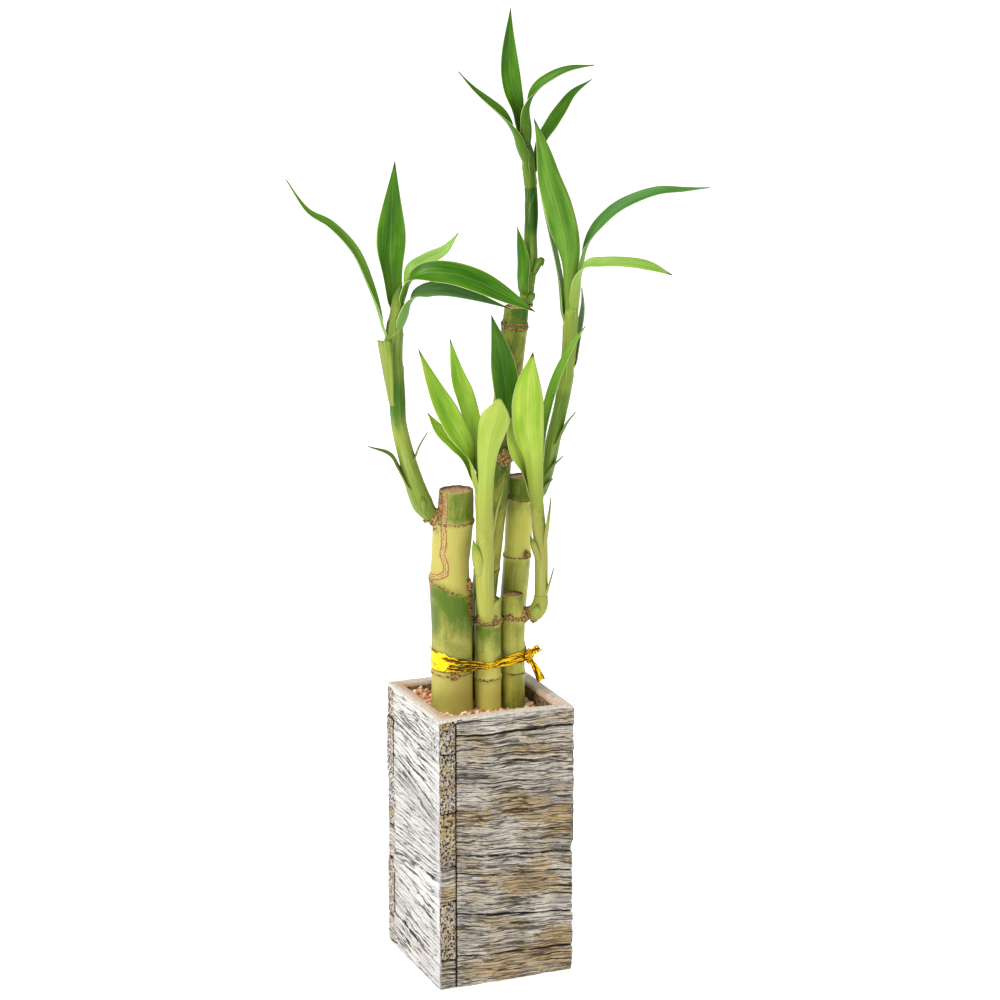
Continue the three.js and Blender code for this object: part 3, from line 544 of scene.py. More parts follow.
@dataclass(frozen=True)
class RibbonFinish:
    """Shiny metallic ribbon with faint lengthwise threads, and painted dark reflections along its creases and
    crumpled parts.
    """

    name: str
    gold: Colour = rgb(250, 204, 30)
    # Darker gold and dark brown of the painted dark reflections along the creases
    deep: Colour = rgb(206, 140, 10)
    fold: Colour = rgb(74, 48, 6)

    def make(self) -> bpy.types.Material:
        """Returns the material."""
        looks = Looks(self.name)
        place = looks.surface()
        threads = looks.cloud(place, (3.0, 0.12, 1.0), 2.0)
        crease_relief_and_reflection = looks.cloud(place, (0.8, 0.1, 1.0), 2.0, 0.3)
        crumple_and_dark_reflection = looks.trait("crumple_and_dark_reflection")
        # Darker gold and dark brown along the creases, more where crumpled: painted dark reflections
        colour = looks.blend(self.gold, self.deep, crease_relief_and_reflection.rise(0.45, 0.6))
        dark = crumple_and_dark_reflection * 0.22 + crease_relief_and_reflection + threads * 0.2
        colour = looks.blend(colour, self.fold, dark.rise(0.72, 0.8) * 0.9)
        looks.relief((crease_relief_and_reflection * 1.2 + threads * 0.3) * (crumple_and_dark_reflection + 0.1), 0.6)
        return looks.finish(colour, threads * 0.12 + 0.12, Metallic=0.9)


class Route:
    """A smooth curve through given points."""

    def __init__(self, points: Iterable[Sequence[float]]) -> None:
        """Takes the points.

        Args:
            points: Places, of which the first three numbers are used.
        """
        self.points = [Vector(point[:3]) for point in points]
        self.last = len(self.points) - 1

    def at(self, share: float) -> Vector:
        """Returns the place at a share of the curve's length."""
        spot = min(max(share, 0.0), 1.0) * self.last
        i = min(int(spot), self.last - 1)
        t = spot - i
        here, ahead = self.points[i], self.points[i + 1]
        before = self.points[i - 1] if i else here * 2 - ahead
        after = self.points[i + 2] if i + 2 <= self.last else ahead * 2 - here
        leave, arrive = (ahead - before) / 2, (after - here) / 2
        bend = (ahead - here) * 3 - leave * 2 - arrive
        turn = (here - ahead) * 2 + leave + arrive
        return here + leave * t + bend * t**2 + turn * t**3

    def heading(self, share: float) -> Vector:
        """Returns the direction of the curve at a share of its length."""
        step = 1e-3
        return (self.at(min(share + step, 1.0)) - self.at(max(share - step, 0.0))).normalized()

    def length(self) -> float:
        """Returns the length of the curve."""
        steps = 60
        spots = [self.at(i / steps) for i in range(steps + 1)]
        return sum((b - a).length for a, b in zip(spots, spots[1:]))


@dataclass
class Station:
    """A place on a route with its directions."""

    place: Vector
    along: Vector
    side: Vector
    up: Vector


def opened(share: float) -> float:
    """Returns how far a blade has opened and turned at a share of its length."""
    return smooth(0.05, 0.45, share)


def square_to(face: Vector, along: Vector) -> Vector:
    """Returns the part of a face direction that is square to another direction."""
    return (face - along * face.dot(along)).normalized()


def stations(route: Route, count: int, face: Vector, tip: Vector) -> list[Station]:
    """Carries directions along a route.

    Args:
        route: The curve.
        count: How many even steps it is cut into.
        face: Where the upper side faces at the foot.
        tip: Where it faces at the far end.

    Returns:
        One station at each step.
    """
    rows: list[tuple[Vector, Vector]] = []
    for i in range(count + 1):
        along = route.heading(i / count)
        up = face
        if rows:
            up = rows[-1][1].copy()
            up.rotate(rows[-1][0].rotation_difference(along))
        rows.append((along, square_to(up, along)))
    along, up = rows[-1]
    wanted = square_to(tip, along)
    roll = math.atan2(up.cross(wanted).dot(along), up.dot(wanted))
    made = []
    for i, (along, up) in enumerate(rows):
        turned = up.copy()
        turned.rotate(Quaternion(along, roll * opened(i / count)))
        made.append(Station(route.at(i / count), along, turned.cross(along).normalized(), turned))
    return made


class Shape:
    """A mesh in the making, in millimetres, with its own map and numbers at points."""

    def __init__(self, *traits: str) -> None:
        """Starts an empty mesh.

        Args:
            traits: Names of the numbers that its points hold.
        """
        self.bm = bmesh.new()
        self.map = self.bm.loops.layers.uv.new("map")
        self.traits = {name: self.bm.verts.layers.float.new(name) for name in traits}

    def sheet(self, across: int, along: int, place: Callable[[float, float], Vector],
              size: tuple[float, float], traits: Callable[[float, float], dict[str, float]],
              thick: float = 0.0) -> list[bmesh.types.BMVert]:
        """Adds a grid that is carried onto a surface.

        Args:
            across: Faces across.
            along: Faces along.
            place: Gives the place for shares across and along, each from 0 to 1.
            size: The map's size across and along, in millimetres.
            traits: Gives the numbers that the points hold there.
            thick: Where above 0, the sheet gets this thickness, half to each side.

        Returns:
            The new points.
        """
        made = bmesh.ops.create_grid(self.bm, x_segments=across, y_segments=along, size=0.5)["verts"]
        shares = {vert: (vert.co.x + 0.5, vert.co.y + 0.5) for vert in made}
        faces = {face for vert in made for face in vert.link_faces}
        for face in faces:
            for loop in face.loops:
                u, v = shares[loop.vert]
                loop[self.map].uv = (u * size[0], v * size[1])
        for vert, (u, v) in shares.items():
            vert.co = place(u, v)
            for name, value in traits(u, v).items():
                vert[self.traits[name]] = value
        bmesh.ops.remove_doubles(self.bm, verts=made, dist=WELD)
        kept = [vert for vert in made if vert.is_valid]
        if thick:
            faces = {face for vert in kept for face in vert.link_faces}
            self.bm.normal_update()
            for vert in kept:
                vert.co += vert.normal * (thick / 2)
            bmesh.ops.solidify(self.bm, geom=list(faces), thickness=thick)
        return kept

    def lump(self, at: Sequence[float], size: Sequence[float], rough: float, seed: float,
             traits: dict[str, float], fineness: int = 3) -> list[bmesh.types.BMVert]:
        """Adds a small uneven round body and returns its points.

        Args:
            at: Its centre.
            size: Its half sizes.
            rough: How far its surface is moved, as a share.
            seed: Where its noise is read.
            traits: The numbers that its points hold.
            fineness: How often its faces are divided.
        """
        made = bmesh.ops.create_icosphere(self.bm, subdivisions=fineness, radius=1.0)["verts"]
        for vert in made:
            direction = vert.co.normalized()
            bump = 1.0 + rough * grainy(*(direction * 2.2 + Vector((seed, seed, 0))))
            vert.co = Vector(at) + Vector([direction[i] * size[i] * bump for i in range(3)])
            for name, value in traits.items():
                vert[self.traits[name]] = value
        return made

    def take(self, other: "Shape") -> None:
        """Adds another shape's mesh, which is then done with."""
        mesh = bpy.data.meshes.new("part")
        other.bm.to_mesh(mesh)
        other.bm.free()
        self.bm.from_mesh(mesh)
        bpy.data.meshes.remove(mesh)

    def piece(self, name: str, turn: Turn, material: bpy.types.Material, slot: str,
              *nodes: str) -> bpy.types.Object:
        """Turns the mesh into a finished piece that rides on the frame.

        Args:
            name: The piece's name.
            turn: The directions it was shaped in.
            material: Its finish.
            slot: The record's material slot; not used.
            nodes: The nodes of the frame that it stands for.

        Returns:
            The object.
        """
        bmesh.ops.recalc_face_normals(self.bm, faces=self.bm.faces[:])
        self.bm.transform(turn.to_frame())
        mesh = bpy.data.meshes.new(name)
        self.bm.to_mesh(mesh)
        self.bm.free()
        mesh.shade_smooth()
        mesh.materials.append(material)
        made = bpy.data.objects.new(name, mesh)
        bpy.context.scene.collection.objects.link(made)
        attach(made, ROOT)
        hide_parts(*nodes)
        triangles = sum(len(polygon.vertices) - 2 for polygon in mesh.polygons)
        log.info("%s: %d triangles", name, triangles)
        return made


@dataclass(frozen=True)
class Joint:
    """A joint between two boards: its height at each end, and its depth."""

    left: float
    right: float
    depth: float


@dataclass(frozen=True)
class Patch:
    """A soft oval mark on a surface: its centre, half sizes and strength."""

    at: tuple[float, float]
    half: tuple[float, float]
    strength: float

    def share(self, x: float, z: float) -> float:
        """Returns how much of the mark there is at a place."""
        away = ((x - self.at[0]) / self.half[0]) ** 2 + ((z - self.at[1]) / self.half[1]) ** 2
        return self.strength * math.exp(-away)


@dataclass
class Planter:
    """The square planter: four walls of cast boards and a smooth rim."""

    half: float = POT_HALF
    strip: float = 8.8
    corner: float = 2.2
    inset: float = 5.0
    boards_top: float = 126.6
    rise: float = 1.2
    floor: float = 8.2
    step: float = 0.335
    near_stops: tuple[float, ...] = (
        0, 0.5, 1, 1.5, 2.1, 2.8, 3.5, 4.2, 4.9, 5.6, 6.3, 7.0, 7.6, 8.15, 8.5, 8.8, 9.1, 9.5, 10.1,
    )
    wide_stops: int = 43
    joints: tuple[tuple[Joint, ...], ...] = (
        (Joint(15, 12, 0.9), Joint(35.4, 28.3, 1.0), Joint(54.6, 48.4, 0.8), Joint(63.2, 57.6, 0.9),
         Joint(84, 80, 0.7), Joint(106.4, 103, 0.8), Joint(118.7, 118.3, 1.5)),
        (Joint(12, 16, 0.7), Joint(31, 36, 0.8), Joint(58, 52, 0.6), Joint(79, 84, 0.8), Joint(103, 99, 0.7),
         Joint(117, 116, 1.1)),
        (Joint(14, 11, 0.7), Joint(38, 33, 0.8), Joint(60, 64, 0.6), Joint(86, 80, 0.8), Joint(106, 104, 0.7),
         Joint(116, 117, 1.1)),
        (Joint(17, 12, 0.6), Joint(36.5, 30.8, 0.7), Joint(47.5, 53, 0.7), Joint(75.5, 74, 0.5),
         Joint(94.3, 83.7, 0.9), Joint(110.5, 106.7, 0.9)),
    )
    strip_joints: tuple[float, ...] = (14.0, 42.4, 58.7, 84.0, 111.3)
    right_edge: tuple[tuple[float, float], ...] = (
        (0, 1.7), (28, 1.6), (30, 0.9), (61, 0.8), (63, 0.1), (127, 0.1),
    )
    # The rim's section, as distance inward and height, closed round
    rim_profile: tuple[tuple[float, float], ...] = (
        (3.2, 118.0), (1.7, 124.4), (1.0, 125.1), (0.65, 125.6), (0.5, 126.1), (0.55, 126.5),
        (0.9, 126.9), (1.6, 127.1), (2.6, 127.15), (4.2, 127.15), (5.6, 127.1), (6.5, 126.9),
        (7.1, 126.4), (7.45, 125.6), (7.6, 124.4), (7.6, 122.0), (7.5, 120.0), (7.4, 117.0), (3.2, 118.0),
    )
    rim_corner: float = 1.5
    stains: tuple[Patch, ...] = (
        Patch((48, 108), (14, 4), 0.2), Patch((40, 81), (14, 8), 0.18), Patch((60, 73), (9, 8), 0.2),
        Patch((18, 79), (9, 5), 0.14), Patch((48, 46), (13, 8), 0.16), Patch((29, 49), (14, 6), 0.12),
        Patch((58, 12), (12, 9), 0.26), Patch((29, 8), (24, 7), 0.22),
    )
    rusts: tuple[Patch, ...] = (
        Patch((60, 14), (5, 6), 0.5), Patch((34, 76), (4, 5), 0.25), Patch((57, 105), (6, 3), 0.25),
    )
    crumbly: Patch = Patch((61, 115), (5, 6), 1.0)
    whiteness: tuple[float, ...] = (0.0, 0.02, 0.03, 0.08)
    blues: tuple[Patch, ...] = (
        Patch((13, 32), (9, 9), 0.3), Patch((56, 92), (10, 6), 0.25), Patch((14, 98), (9, 7), 0.22),
    )

    def board(self, wall: int, x: float, z: float) -> tuple[float, float, float]:
        """Finds the board at a place.

        Args:
            wall: The wall's number.
            x: The place along the wall.
            z: Its height.

        Returns:
            The height in the board's own lay, how deep the joints are there,
            and how far the board is set back.
        """
        if x < self.strip:
            lines = [(height + 0.5 * grainy(x * 0.3, height), height, 0.9) for height in self.strip_joints]
        else:
            share = (x - self.strip) / (2 * self.half - self.strip)
            sway = 1.1 * grainy(x * 0.06, wall * 9.0) + 0.3 * grainy(x * 0.3, wall * 5.0)
            lines = [(mix(j.left, j.right, share) + sway, j.left, j.depth) for j in self.joints[wall]]
        below, above, number = (0.0, 0.0), (self.boards_top, self.boards_top), 0
        depth = 0.0
        for i, (height, level, cut) in enumerate(lines):
            away = z - height
            uneven = 0.8 + 0.7 * grainy(x * 0.2, height, wall)
            half = 0.32 + 0.12 * cut
            depth += cut * uneven * math.exp(-((away / half) ** 2))
            depth += 0.2 * cut * math.exp(-((away / 1.6) ** 2))
            if away >= 0:
                below, number = (height, level), i + 1
            else:
                above = (height, level)
                break
        lay = mix(below[1], above[1], (z - below[0]) / (above[0] - below[0]))
        back = max(0.2 + 0.9 * grainy(number * 7.3 + 0.5, wall * 3.1, 4.5 if x < self.strip else 0.5), 0.0)
        if wall == 1 and x < self.strip:
            back = by_height(self.right_edge, z)
        return lay, depth, back

    def grain(self, x: float, lay: float, seed: float) -> float:
        """Returns how deep the long wavy cracks and the ridges between them lie."""
        lift = lay + 1.6 * grainy(x * 0.035 + seed, lay * 0.05)
        rough = 0.5 + 1.2 * grainy(x * 0.04, lay * 0.07, seed + 3.0)
        wide = abs(grainy(x * 0.024 + seed, lift * 0.3, 7.0))
        thin = abs(grainy(x * 0.05 + seed, lift * 0.62, 2.0))
        deep = 0.7 * smooth(0.05, 0.0, wide) * smooth(-0.1, 0.25, grainy(x * 0.06, lay * 0.2, seed))
        deep += 0.3 * smooth(0.1, 0.0, thin) * max(rough, 0.0)
        return deep + 0.22 * grainy(x * 0.09 + seed, lift * 1.2) + 0.12 * grainy(x * 0.25, lift * 2.4, seed)

    def end_grain(self, x: float, z: float, seed: float) -> float:
        """Returns how deep the surface of the boards' ends lies, pitted or slanted."""
        if self.slanted(z):
            lift = z + 0.5 * x
            cracks = smooth(0.12, 0.0, abs(grainy(x * 0.15 + seed, lift * 0.7)))
            return 0.15 + 0.5 * cracks + 0.15 * grainy(x, lift)
        return 0.25 + 0.3 * grainy(x * 0.6, z * 0.5, seed) + 0.3 * grainy(x * 1.1, z * 0.9, seed)

    def slanted(self, z: float) -> bool:
        """Tells if the boards' ends show slanting grain, not pits, at a height."""
        return 42.4 < z < 58.7 or z < 14

    def pitted(self, wall: int, x: float, z: float) -> float:
        """Returns how far the surface is pitted instead of grained."""
        if x < self.strip - 0.8 and not self.slanted(z):
            return 1.0
        return self.crumbly.share(x, z) if wall == LEFT_WALL else 0.0

    def relief(self, wall: int, x: float, z: float) -> tuple[float, float, float]:
        """Returns the height in the board's lay, how deep the surface lies and how deep its cracks are."""
        lay, cut, back = self.board(wall, x, z)
        seed = wall * 31.0
        cut += 1.2 * math.exp(-(((x - self.strip) / 0.42) ** 2))
        grain = self.end_grain(x, z, seed) * 0.5 if x < self.strip - 0.6 else self.grain(x, lay, seed)
        depth = cut + grain + back + 0.15
        cut += grain * 0.5
        edge = min(x, 2 * self.half - x)
        worn = 0.1 + 1.3 * grainy(z * 0.16, wall * 5.0) + 0.8 * grainy(z * 0.5, wall * 5.0)
        depth += max(worn, 0.0) * math.exp(-edge / 1.4)
        ends = min(z, self.boards_top - z)
        depth += 0.6 * math.exp(-max(ends, 0.0) / 0.8)
        return lay, min(max(depth, 0.0), 2.6), cut

    def outline(self, around: float, inward: float, radius: float) -> tuple[Vector, Vector]:
        """Finds a place on the rounded square.

        Args:
            around: The distance round the planter from its front left corner.
            inward: How far in from the outside.
            radius: The corner's radius.

        Returns:
            The place and the way out.
        """
        wall, along = divmod(around, 2 * self.half)
        spot = Vector((along - self.half, -self.half, 0))
        core = Vector((min(max(spot.x, -self.half + radius), self.half - radius), -self.half + radius, 0))
        out = (spot - core).normalized()
        place = core + out * (radius - inward)
        if inward > radius:
            shrink = (self.half - inward) / self.half
            place = Vector((spot.x * shrink, -self.half + inward, 0))
        turn = Matrix.Rotation(math.pi / 2 * wall, 3, "Z")
        return turn @ place, turn @ out

    def lifted(self, spot: Vector) -> Vector:
        """Returns a place raised as the uneven top is, most at the front left corner."""
        side = 2 * self.half
        share = (self.half - spot.x) / side * (self.half - spot.y) / side
        return spot + Vector((0, 0, self.rise * share * smooth(70.0, RIM_TOP, spot.z)))

    def stops(self) -> list[float]:
        """Returns the places along a wall that hold points, close at its ends and joint."""
        side = 2 * self.half
        last = self.wide_stops - 1
        wide = [mix(11.0, side - 1.9, i / last) for i in range(self.wide_stops)]
        return [*self.near_stops, *wide, side - 1.0, side - 0.5]

    def boards(self) -> bpy.types.Object:
        """Builds the walls as one closed cup with the boards' relief on its outside."""
        side = 2 * self.half
        around = [wall * side + stop for wall in range(4) for stop in self.stops()] + [4 * side]
        heights = [i * self.step for i in range(int(self.boards_top / self.step) + 1)] + [self.boards_top]
        shape = Shape("depth", "white", "stain", "rust", "worn", "pitted")
        columns = len(around) - 1
        levels: list[tuple[str, float]] = [("under", 1.0), ("under", 0.1)]
        levels += [("wall", z) for z in heights]
        levels += [("top", 3.0), ("top", self.inset), ("inside", self.floor + 1.0), ("pole", self.floor)]
        rows = len(levels) - 1
        found: dict[tuple[int, int], tuple[float, float, float]] = {}

        def relief_at(column: int, row: int) -> tuple[float, float, float]:
            key = (column % columns, row)
            if key not in found:
                p = around[key[0]]
                found[key] = self.relief(int(p // side), p % side, levels[row][1])
            return found[key]

        def place(u: float, v: float) -> Vector:
            column, row = round(u * columns), round(v * rows)
            kind, value = levels[row]
            p = around[column % columns]
            if kind == "wall":
                depth = relief_at(column, row)[1]
                spot, out = self.outline(p, 0.0, self.corner)
                return self.lifted(spot - out * depth + Vector((0, 0, value)))
            if kind == "under":
                return self.outline(p, self.half * value, self.corner)[0] if value < 1 else Vector()
            if kind == "top":
                return self.lifted(self.outline(p, value, self.corner)[0] + Vector((0, 0, self.boards_top)))
            if kind == "inside":
                return self.outline(p, self.inset, self.corner)[0] + Vector((0, 0, value))
            return Vector((0, 0, value))

        def traits(u: float, v: float) -> dict[str, float]:
            column, row = round(u * columns), round(v * rows)
            kind, z = levels[row]
            if kind != "wall":
                return {}
            p = around[column % columns]
            wall, x = int(p // side), p % side
            cut = relief_at(column, row)[2]
            front = wall == 0 and x > self.strip
            ends = x < self.strip
            stain = 0.07 + 1.2 * sum(patch.share(x, z) for patch in self.stains) if front else 0.05
            if wall == LEFT_WALL and not ends:
                stain = 0.16 * grainy(x * 0.05, z * 0.03, 4.0) - 0.06
            blue = sum(patch.share(x, z) for patch in self.blues) * 0.3 if front else 0.0
            white = self.whiteness[wall] - blue
            return {
                "depth": cut,
                "white": white - (0.02 if ends else 0.0),
                "stain": stain + (0.1 if ends else 0.0),
                "rust": sum(patch.share(x, z) for patch in self.rusts) if front else 0.0,
                # Wear at the wall ends and top edge, widened on the left wall towards the near front corner
                # as a painted highlight
                "worn": max(math.exp(-x / 1.4), math.exp((x - side) / (8.0 if wall == LEFT_WALL else 1.8)))
                + 0.5 * math.exp(-max(self.boards_top - z, 0) / 1.5),
                "pitted": self.pitted(wall, x, z),
            }

        made = shape.sheet(columns, rows, place, (1.0, 1.0), traits)
        for vert in made:
            for loop in vert.link_loops:
                u, v = loop[shape.map].uv
                column, row = round(u * columns), round(v * rows)
                kind, z = levels[row]
                lay = relief_at(column, row)[0] if kind == "wall" else z
                wall = around[min(column, columns - 1)] // side
                loop[shape.map].uv = (around[column] + wall * 40, lay + wall * 150)
        return shape.piece("planter_boards", Turn.PLANTER, BoardFinish("boards").make(), "pot", "pot")

    def rim(self) -> bpy.types.Object:
        """Builds the smooth rim and the inner wall down to below the gravel."""
        profile = self.rim_profile
        columns, rows = 280, len(profile) - 1
        shape = Shape("inside", "outer", "warm")

        def place(u: float, v: float) -> Vector:
            inward, z = profile[round(v * rows)]
            angle = 2 * math.pi * (u % 1.0)
            direction = Vector((math.cos(angle), math.sin(angle), 0))
            reach = self.half - inward
            near = smooth(-0.3, 1.2, -direction.x - direction.y)
            round_off = self.rim_corner + mix(0.2, 3.2, near) * smooth(3.0, 7.0, inward)
            flat = reach - round_off
            spot = direction * (reach / max(abs(direction.x), abs(direction.y)))
            core = Vector((min(max(spot.x, -flat), flat), min(max(spot.y, -flat), flat), 0))
            out = (spot - core).normalized() if (spot - core).length > 1e-6 else direction
            chip = 0.12 + 0.14 * grainy(spot.x * 0.16, spot.y * 0.16, z * 0.2)
            chip += 0.06 * grainy(spot.x, spot.y, z)
            dip = 0.25 * smooth(124.5, 127.0, z) * (0.3 + grainy(spot.x * 0.1, spot.y * 0.1, 3.0))
            inner = -1.0 if inward > 4.2 else 1.0
            return self.lifted(core + out * (round_off - chip * inner) + Vector((0, 0, z - dip)))

        def traits(u: float, v: float) -> dict[str, float]:
            inward, z = profile[round(v * rows)]
            left = smooth(0.34, 0.4, u) * smooth(0.7, 0.6, u)
            return {
                # How far down the inner wall, where painted shade is laid
                "inside": smooth(126.2, 124.4, z) if inward > 4.0 else 0.0,
                "outer": smooth(4.4, 1.8, inward),
                "warm": smooth(1.8, 4.8, inward) * mix(0.1, 1.25, left) + 0.35 * smooth(5.2, 6.8, inward),
            }

        shape.sheet(columns, rows, place, (260.0, 20.0), traits)
        return shape.piece("planter_rim", Turn.PLANTER, PlasterFinish("plaster").make(), "pot", "pot")

    def build(self) -> None:
        """Builds the walls and the rim."""
        self.boards()
        self.rim()


@dataclass
class Gravel:
    """A bed of small stones round the canes."""

    half: float = 25.6
    low: float = 8.6
    count: int = 1500
    mound: float = 3.0
    seed: int = 11

    def build(self, canes: Sequence["Cane"]) -> bpy.types.Object:
        """Scatters the stones over a filled block, clear of the canes."""
        draw = random.Random(self.seed)
        shape = Shape("tone")
        block = bmesh.ops.create_cube(shape.bm, size=1.0)["verts"]
        top = GRAVEL_TOP - 1.6
        for vert in block:
            up = top if vert.co.z > 0 else self.low
            vert.co = Vector((vert.co.x * 2 * self.half, vert.co.y * 2 * self.half, up))
        holes = []
        for cane in canes:
            a, b, radius = cane.section(GRAVEL_TOP)
            holes.append((Matrix.Rotation(PLANT_TURN, 3, "Z") @ Vector((a, b, 0)), radius))
        heap = Shape("tone")
        for number in range(self.count):
            if number % 40 == 39:
                shape.take(heap)
                heap = Shape("tone")
            size = draw.uniform(0.65, 1.35)
            x, y = draw.uniform(-1, 1) * (self.half - size), draw.uniform(-1, 1) * (self.half - size)
            tone, seed = draw.random(), draw.uniform(0, 90)
            rise = draw.uniform(-1.1, 0.7) + self.mound * (y - x) / (2 * POT_HALF)
            rise += 1.2 * math.exp(-(((x + 18) / 9) ** 2) - (((y - 20) / 8) ** 2))
            squash = [draw.uniform(0.75, 1.1) * size for _ in range(3)]
            spot = Vector((x, y, 0))
            if any((spot - middle).length < radius + size * 0.5 for middle, radius in holes):
                continue
            heap.lump((spot.x, spot.y, GRAVEL_TOP - 0.8 + rise), squash, 0.45, seed, {"tone": tone}, 2)
        shape.take(heap)
        return shape.piece("gravel_stones", Turn.PLANTER, GravelFinish("stones").make(), "gravel", "gravel")


@dataclass(frozen=True)
class Node:
    """A ring on a cane: its height, half height, roughness and how brown it is."""

    up: float
    half: float
    rough: float
    bark: float = 1.0
    frayed: int = 0


@dataclass(frozen=True)
class Bud:
    """A bud, cut stub or swelling: its centre, half sizes and roughness."""

    at: Place
    size: Place
    rough: float = 0.25


@dataclass(frozen=True)
class Collar:
    """Torn brown fibres round the foot of a shoot."""

    at: Vector
    along: Vector
    radius: float
    count: int

    def tufts(self, draw: random.Random) -> list[tuple[Place, list[float]]]:
        """Returns the place and half sizes of each tuft."""
        side = square_to(Vector((0.3, 1, 0.1)), self.along)
        across = self.along.cross(side)
        made = []
        for _ in range(self.count):
            angle = draw.uniform(0, 2 * math.pi)
            out = side * math.cos(angle) + across * math.sin(angle)
            far = self.radius + draw.uniform(-0.2, 0.35)
            spot = self.at + out * far + self.along * draw.uniform(-0.9, 1.1)
            made.append((tuple(spot), [draw.uniform(0.3, 0.75) for _ in range(3)]))
        return made


@dataclass
class Cane:
    """A cut cane with its nodes, buds, scars and cut top."""

    name: str
    rings: list[tuple[float, float, float, float, float]]
    nodes: list[Node]
    buds: list[Bud]
    finish: CaneFinish
    greens: list[tuple[float, float]]
    scar: list[tuple[float, float]]
    marks: list[Patch]
    collar: Collar
    sides: int = 56
    step: float = 0.75
    buried: float = 117.0
    # The cut top: lift, distance inward and how far it counts as cut
    crown: tuple[Place, ...] = (
        (0.28, 0.12, 0.3), (0.42, 0.4, 0.52), (0.38, 0.8, 0.62), (0.0, 1.15, 0.7), (-0.4, 1.6, 0.8),
        (-0.55, 2.6, 1.0),
    )

    def section(self, up: float) -> tuple[float, float, float]:
        """Returns the centre and radius at a height."""
        a, b, _, radius, _ = self.ring(up)
        return a, b, radius

    def ring(self, up: float) -> tuple[float, float, float, float, float]:
        """Returns the ring at a height, between the listed ones."""
        rings = self.rings
        i = max(k for k in range(len(rings) - 1) if rings[k][2] <= max(up, rings[0][2]))
        low, high = rings[i], rings[i + 1]
        share = min(max((up - low[2]) / (high[2] - low[2]), 0.0), 1.0)
        eased = smooth(0, 1, share)
        a, b = mix(low[0], high[0], share), mix(low[1], high[1], share)
        return a, b, up, mix(low[3], high[3], eased), mix(low[4], high[4], eased)

    def green(self, up: float) -> float:
        """Returns how green the skin is at a height."""
        return by_height(self.greens, up)

    def scar_distance(self, place: Vector, middle: float) -> float:
        """Returns how far a place on the front is from the scar line."""
        if not self.scar or place.y > middle:
            return NO_SCAR
        best = NO_SCAR
        for (x0, z0), (x1, z1) in zip(self.scar, self.scar[1:]):
            span = Vector((x1 - x0, z1 - z0))
            to = Vector((place.x - x0, place.z - z0))
            share = min(max(to.dot(span) / span.length_squared, 0.0), 1.0)
            best = min(best, (to - span * share).length)
        return best

    def build(self) -> bpy.types.Object:
        """Builds the cane."""
        shape = Shape("bark", "scar", "green", "cut")
        bottom, top = self.rings[0][2], self.rings[-1][2]
        below = [mix(bottom, self.buried, i / 5) for i in range(5)]
        count = int((top - self.buried) / self.step)
        heights = below + [mix(self.buried, top, i / count) for i in range(count + 1)]
        rows = len(heights) + len(self.crown) + 1
        radius_top = self.rings[-1][3]

        def place(u: float, v: float) -> Vector:
            row = round(v * rows)
            angle = 2 * math.pi * (u % 1.0)
            c, s = math.cos(angle), math.sin(angle)
            if row == 0 or row == rows:
                a, b, up, _, _ = self.ring(bottom if row == 0 else top)
                return Vector((a, b, up - (0.6 if row else 0.0)))
            if row <= len(heights):
                a, b, up, radius, slope = self.ring(heights[row - 1])
                for node in self.nodes:
                    near = math.exp(-(((up - node.up) / node.half) ** 2))
                    uneven = 0.7 * grainy(c * 5, s * 5, up * 1.3) + 0.35 * grainy(c * 11, s * 11, up * 2)
                    radius += node.rough * near * uneven
                radius += 0.07 * grainy(c * 2, s * 2, up * 0.08)
                ragged = 0.25 * grainy(c * 3, s * 3, 5.0) * smooth(top - 1.5, top, up)
                return Vector((a + radius * c, b + radius * s, up + slope * radius * c + ragged))
            a, b, up, _, slope = self.ring(top)
            lift, inward, _ = self.crown[row - len(heights) - 1]
            radius = radius_top - inward * (1 + 0.15 * grainy(c * 2, s * 2, 9.0))
            lift += 0.25 * grainy(c * 3, s * 3, 5.0)
            lift += 0.15 * grainy(c * radius * 0.6, s * radius * 0.6, 2.0)
            return Vector((a + radius * c, b + radius * s, up + lift + slope * radius * c))

        def traits(u: float, v: float) -> dict[str, float]:
            row = round(v * rows)
            spot = place(u, v)
            if 0 < row <= len(heights):
                up = heights[row - 1]
                middle = self.ring(up)[1]
                bark = max(node.bark * math.exp(-(((up - node.up) / node.half) ** 2)) for node in self.nodes)
                if spot.y < middle:
                    bark = max([bark] + [mark.share(spot.x, spot.z) for mark in self.marks])
                return {
                    "bark": bark,
                    "scar": self.scar_distance(spot, middle),
                    "green": self.green(up),
                    "cut": 0.3 * smooth(top - 0.4, top, up),
                }
            cut = self.crown[row - len(heights) - 1][2] if len(heights) < row < rows else 1.0
            return {"bark": 0.0, "scar": NO_SCAR, "green": 0.3, "cut": cut if row else 0.0}

        widest = max(ring[3] for ring in self.rings)
        shape.sheet(self.sides, rows, place, (2 * math.pi * widest, top - bottom), traits)
        brown = {"bark": 1.0, "scar": NO_SCAR, "green": 0.3, "cut": 0.0}
        torn = {"bark": 0.9, "scar": NO_SCAR, "green": 0.0, "cut": 0.0}
        for i, bud in enumerate(self.buds):
            shape.lump(bud.at, bud.size, bud.rough, i * 3.7, brown, 4)
        draw = random.Random(len(self.name))
        for at, size in self.collar.tufts(draw):
            shape.lump(at, size, 0.6, draw.uniform(0, 50), torn, 2)
        for node in self.nodes:
            a, b, _, radius, slope = self.ring(node.up)
            for _ in range(node.frayed):
                angle = draw.uniform(0, 2 * math.pi)
                x, y = radius * math.cos(angle), radius * math.sin(angle)
                at = (a + x, b + y, node.up + slope * x + draw.uniform(-1, 1) * node.half * 0.8)
                size = [draw.uniform(0.25, 0.6) for _ in range(3)]
                shape.lump(at, size, 0.6, draw.uniform(0, 50), torn, 2)
        node = f"cane_{self.name}"
        return shape.piece(f"{node}_skin", Turn.PLANT, self.finish.make(), "cane", node)


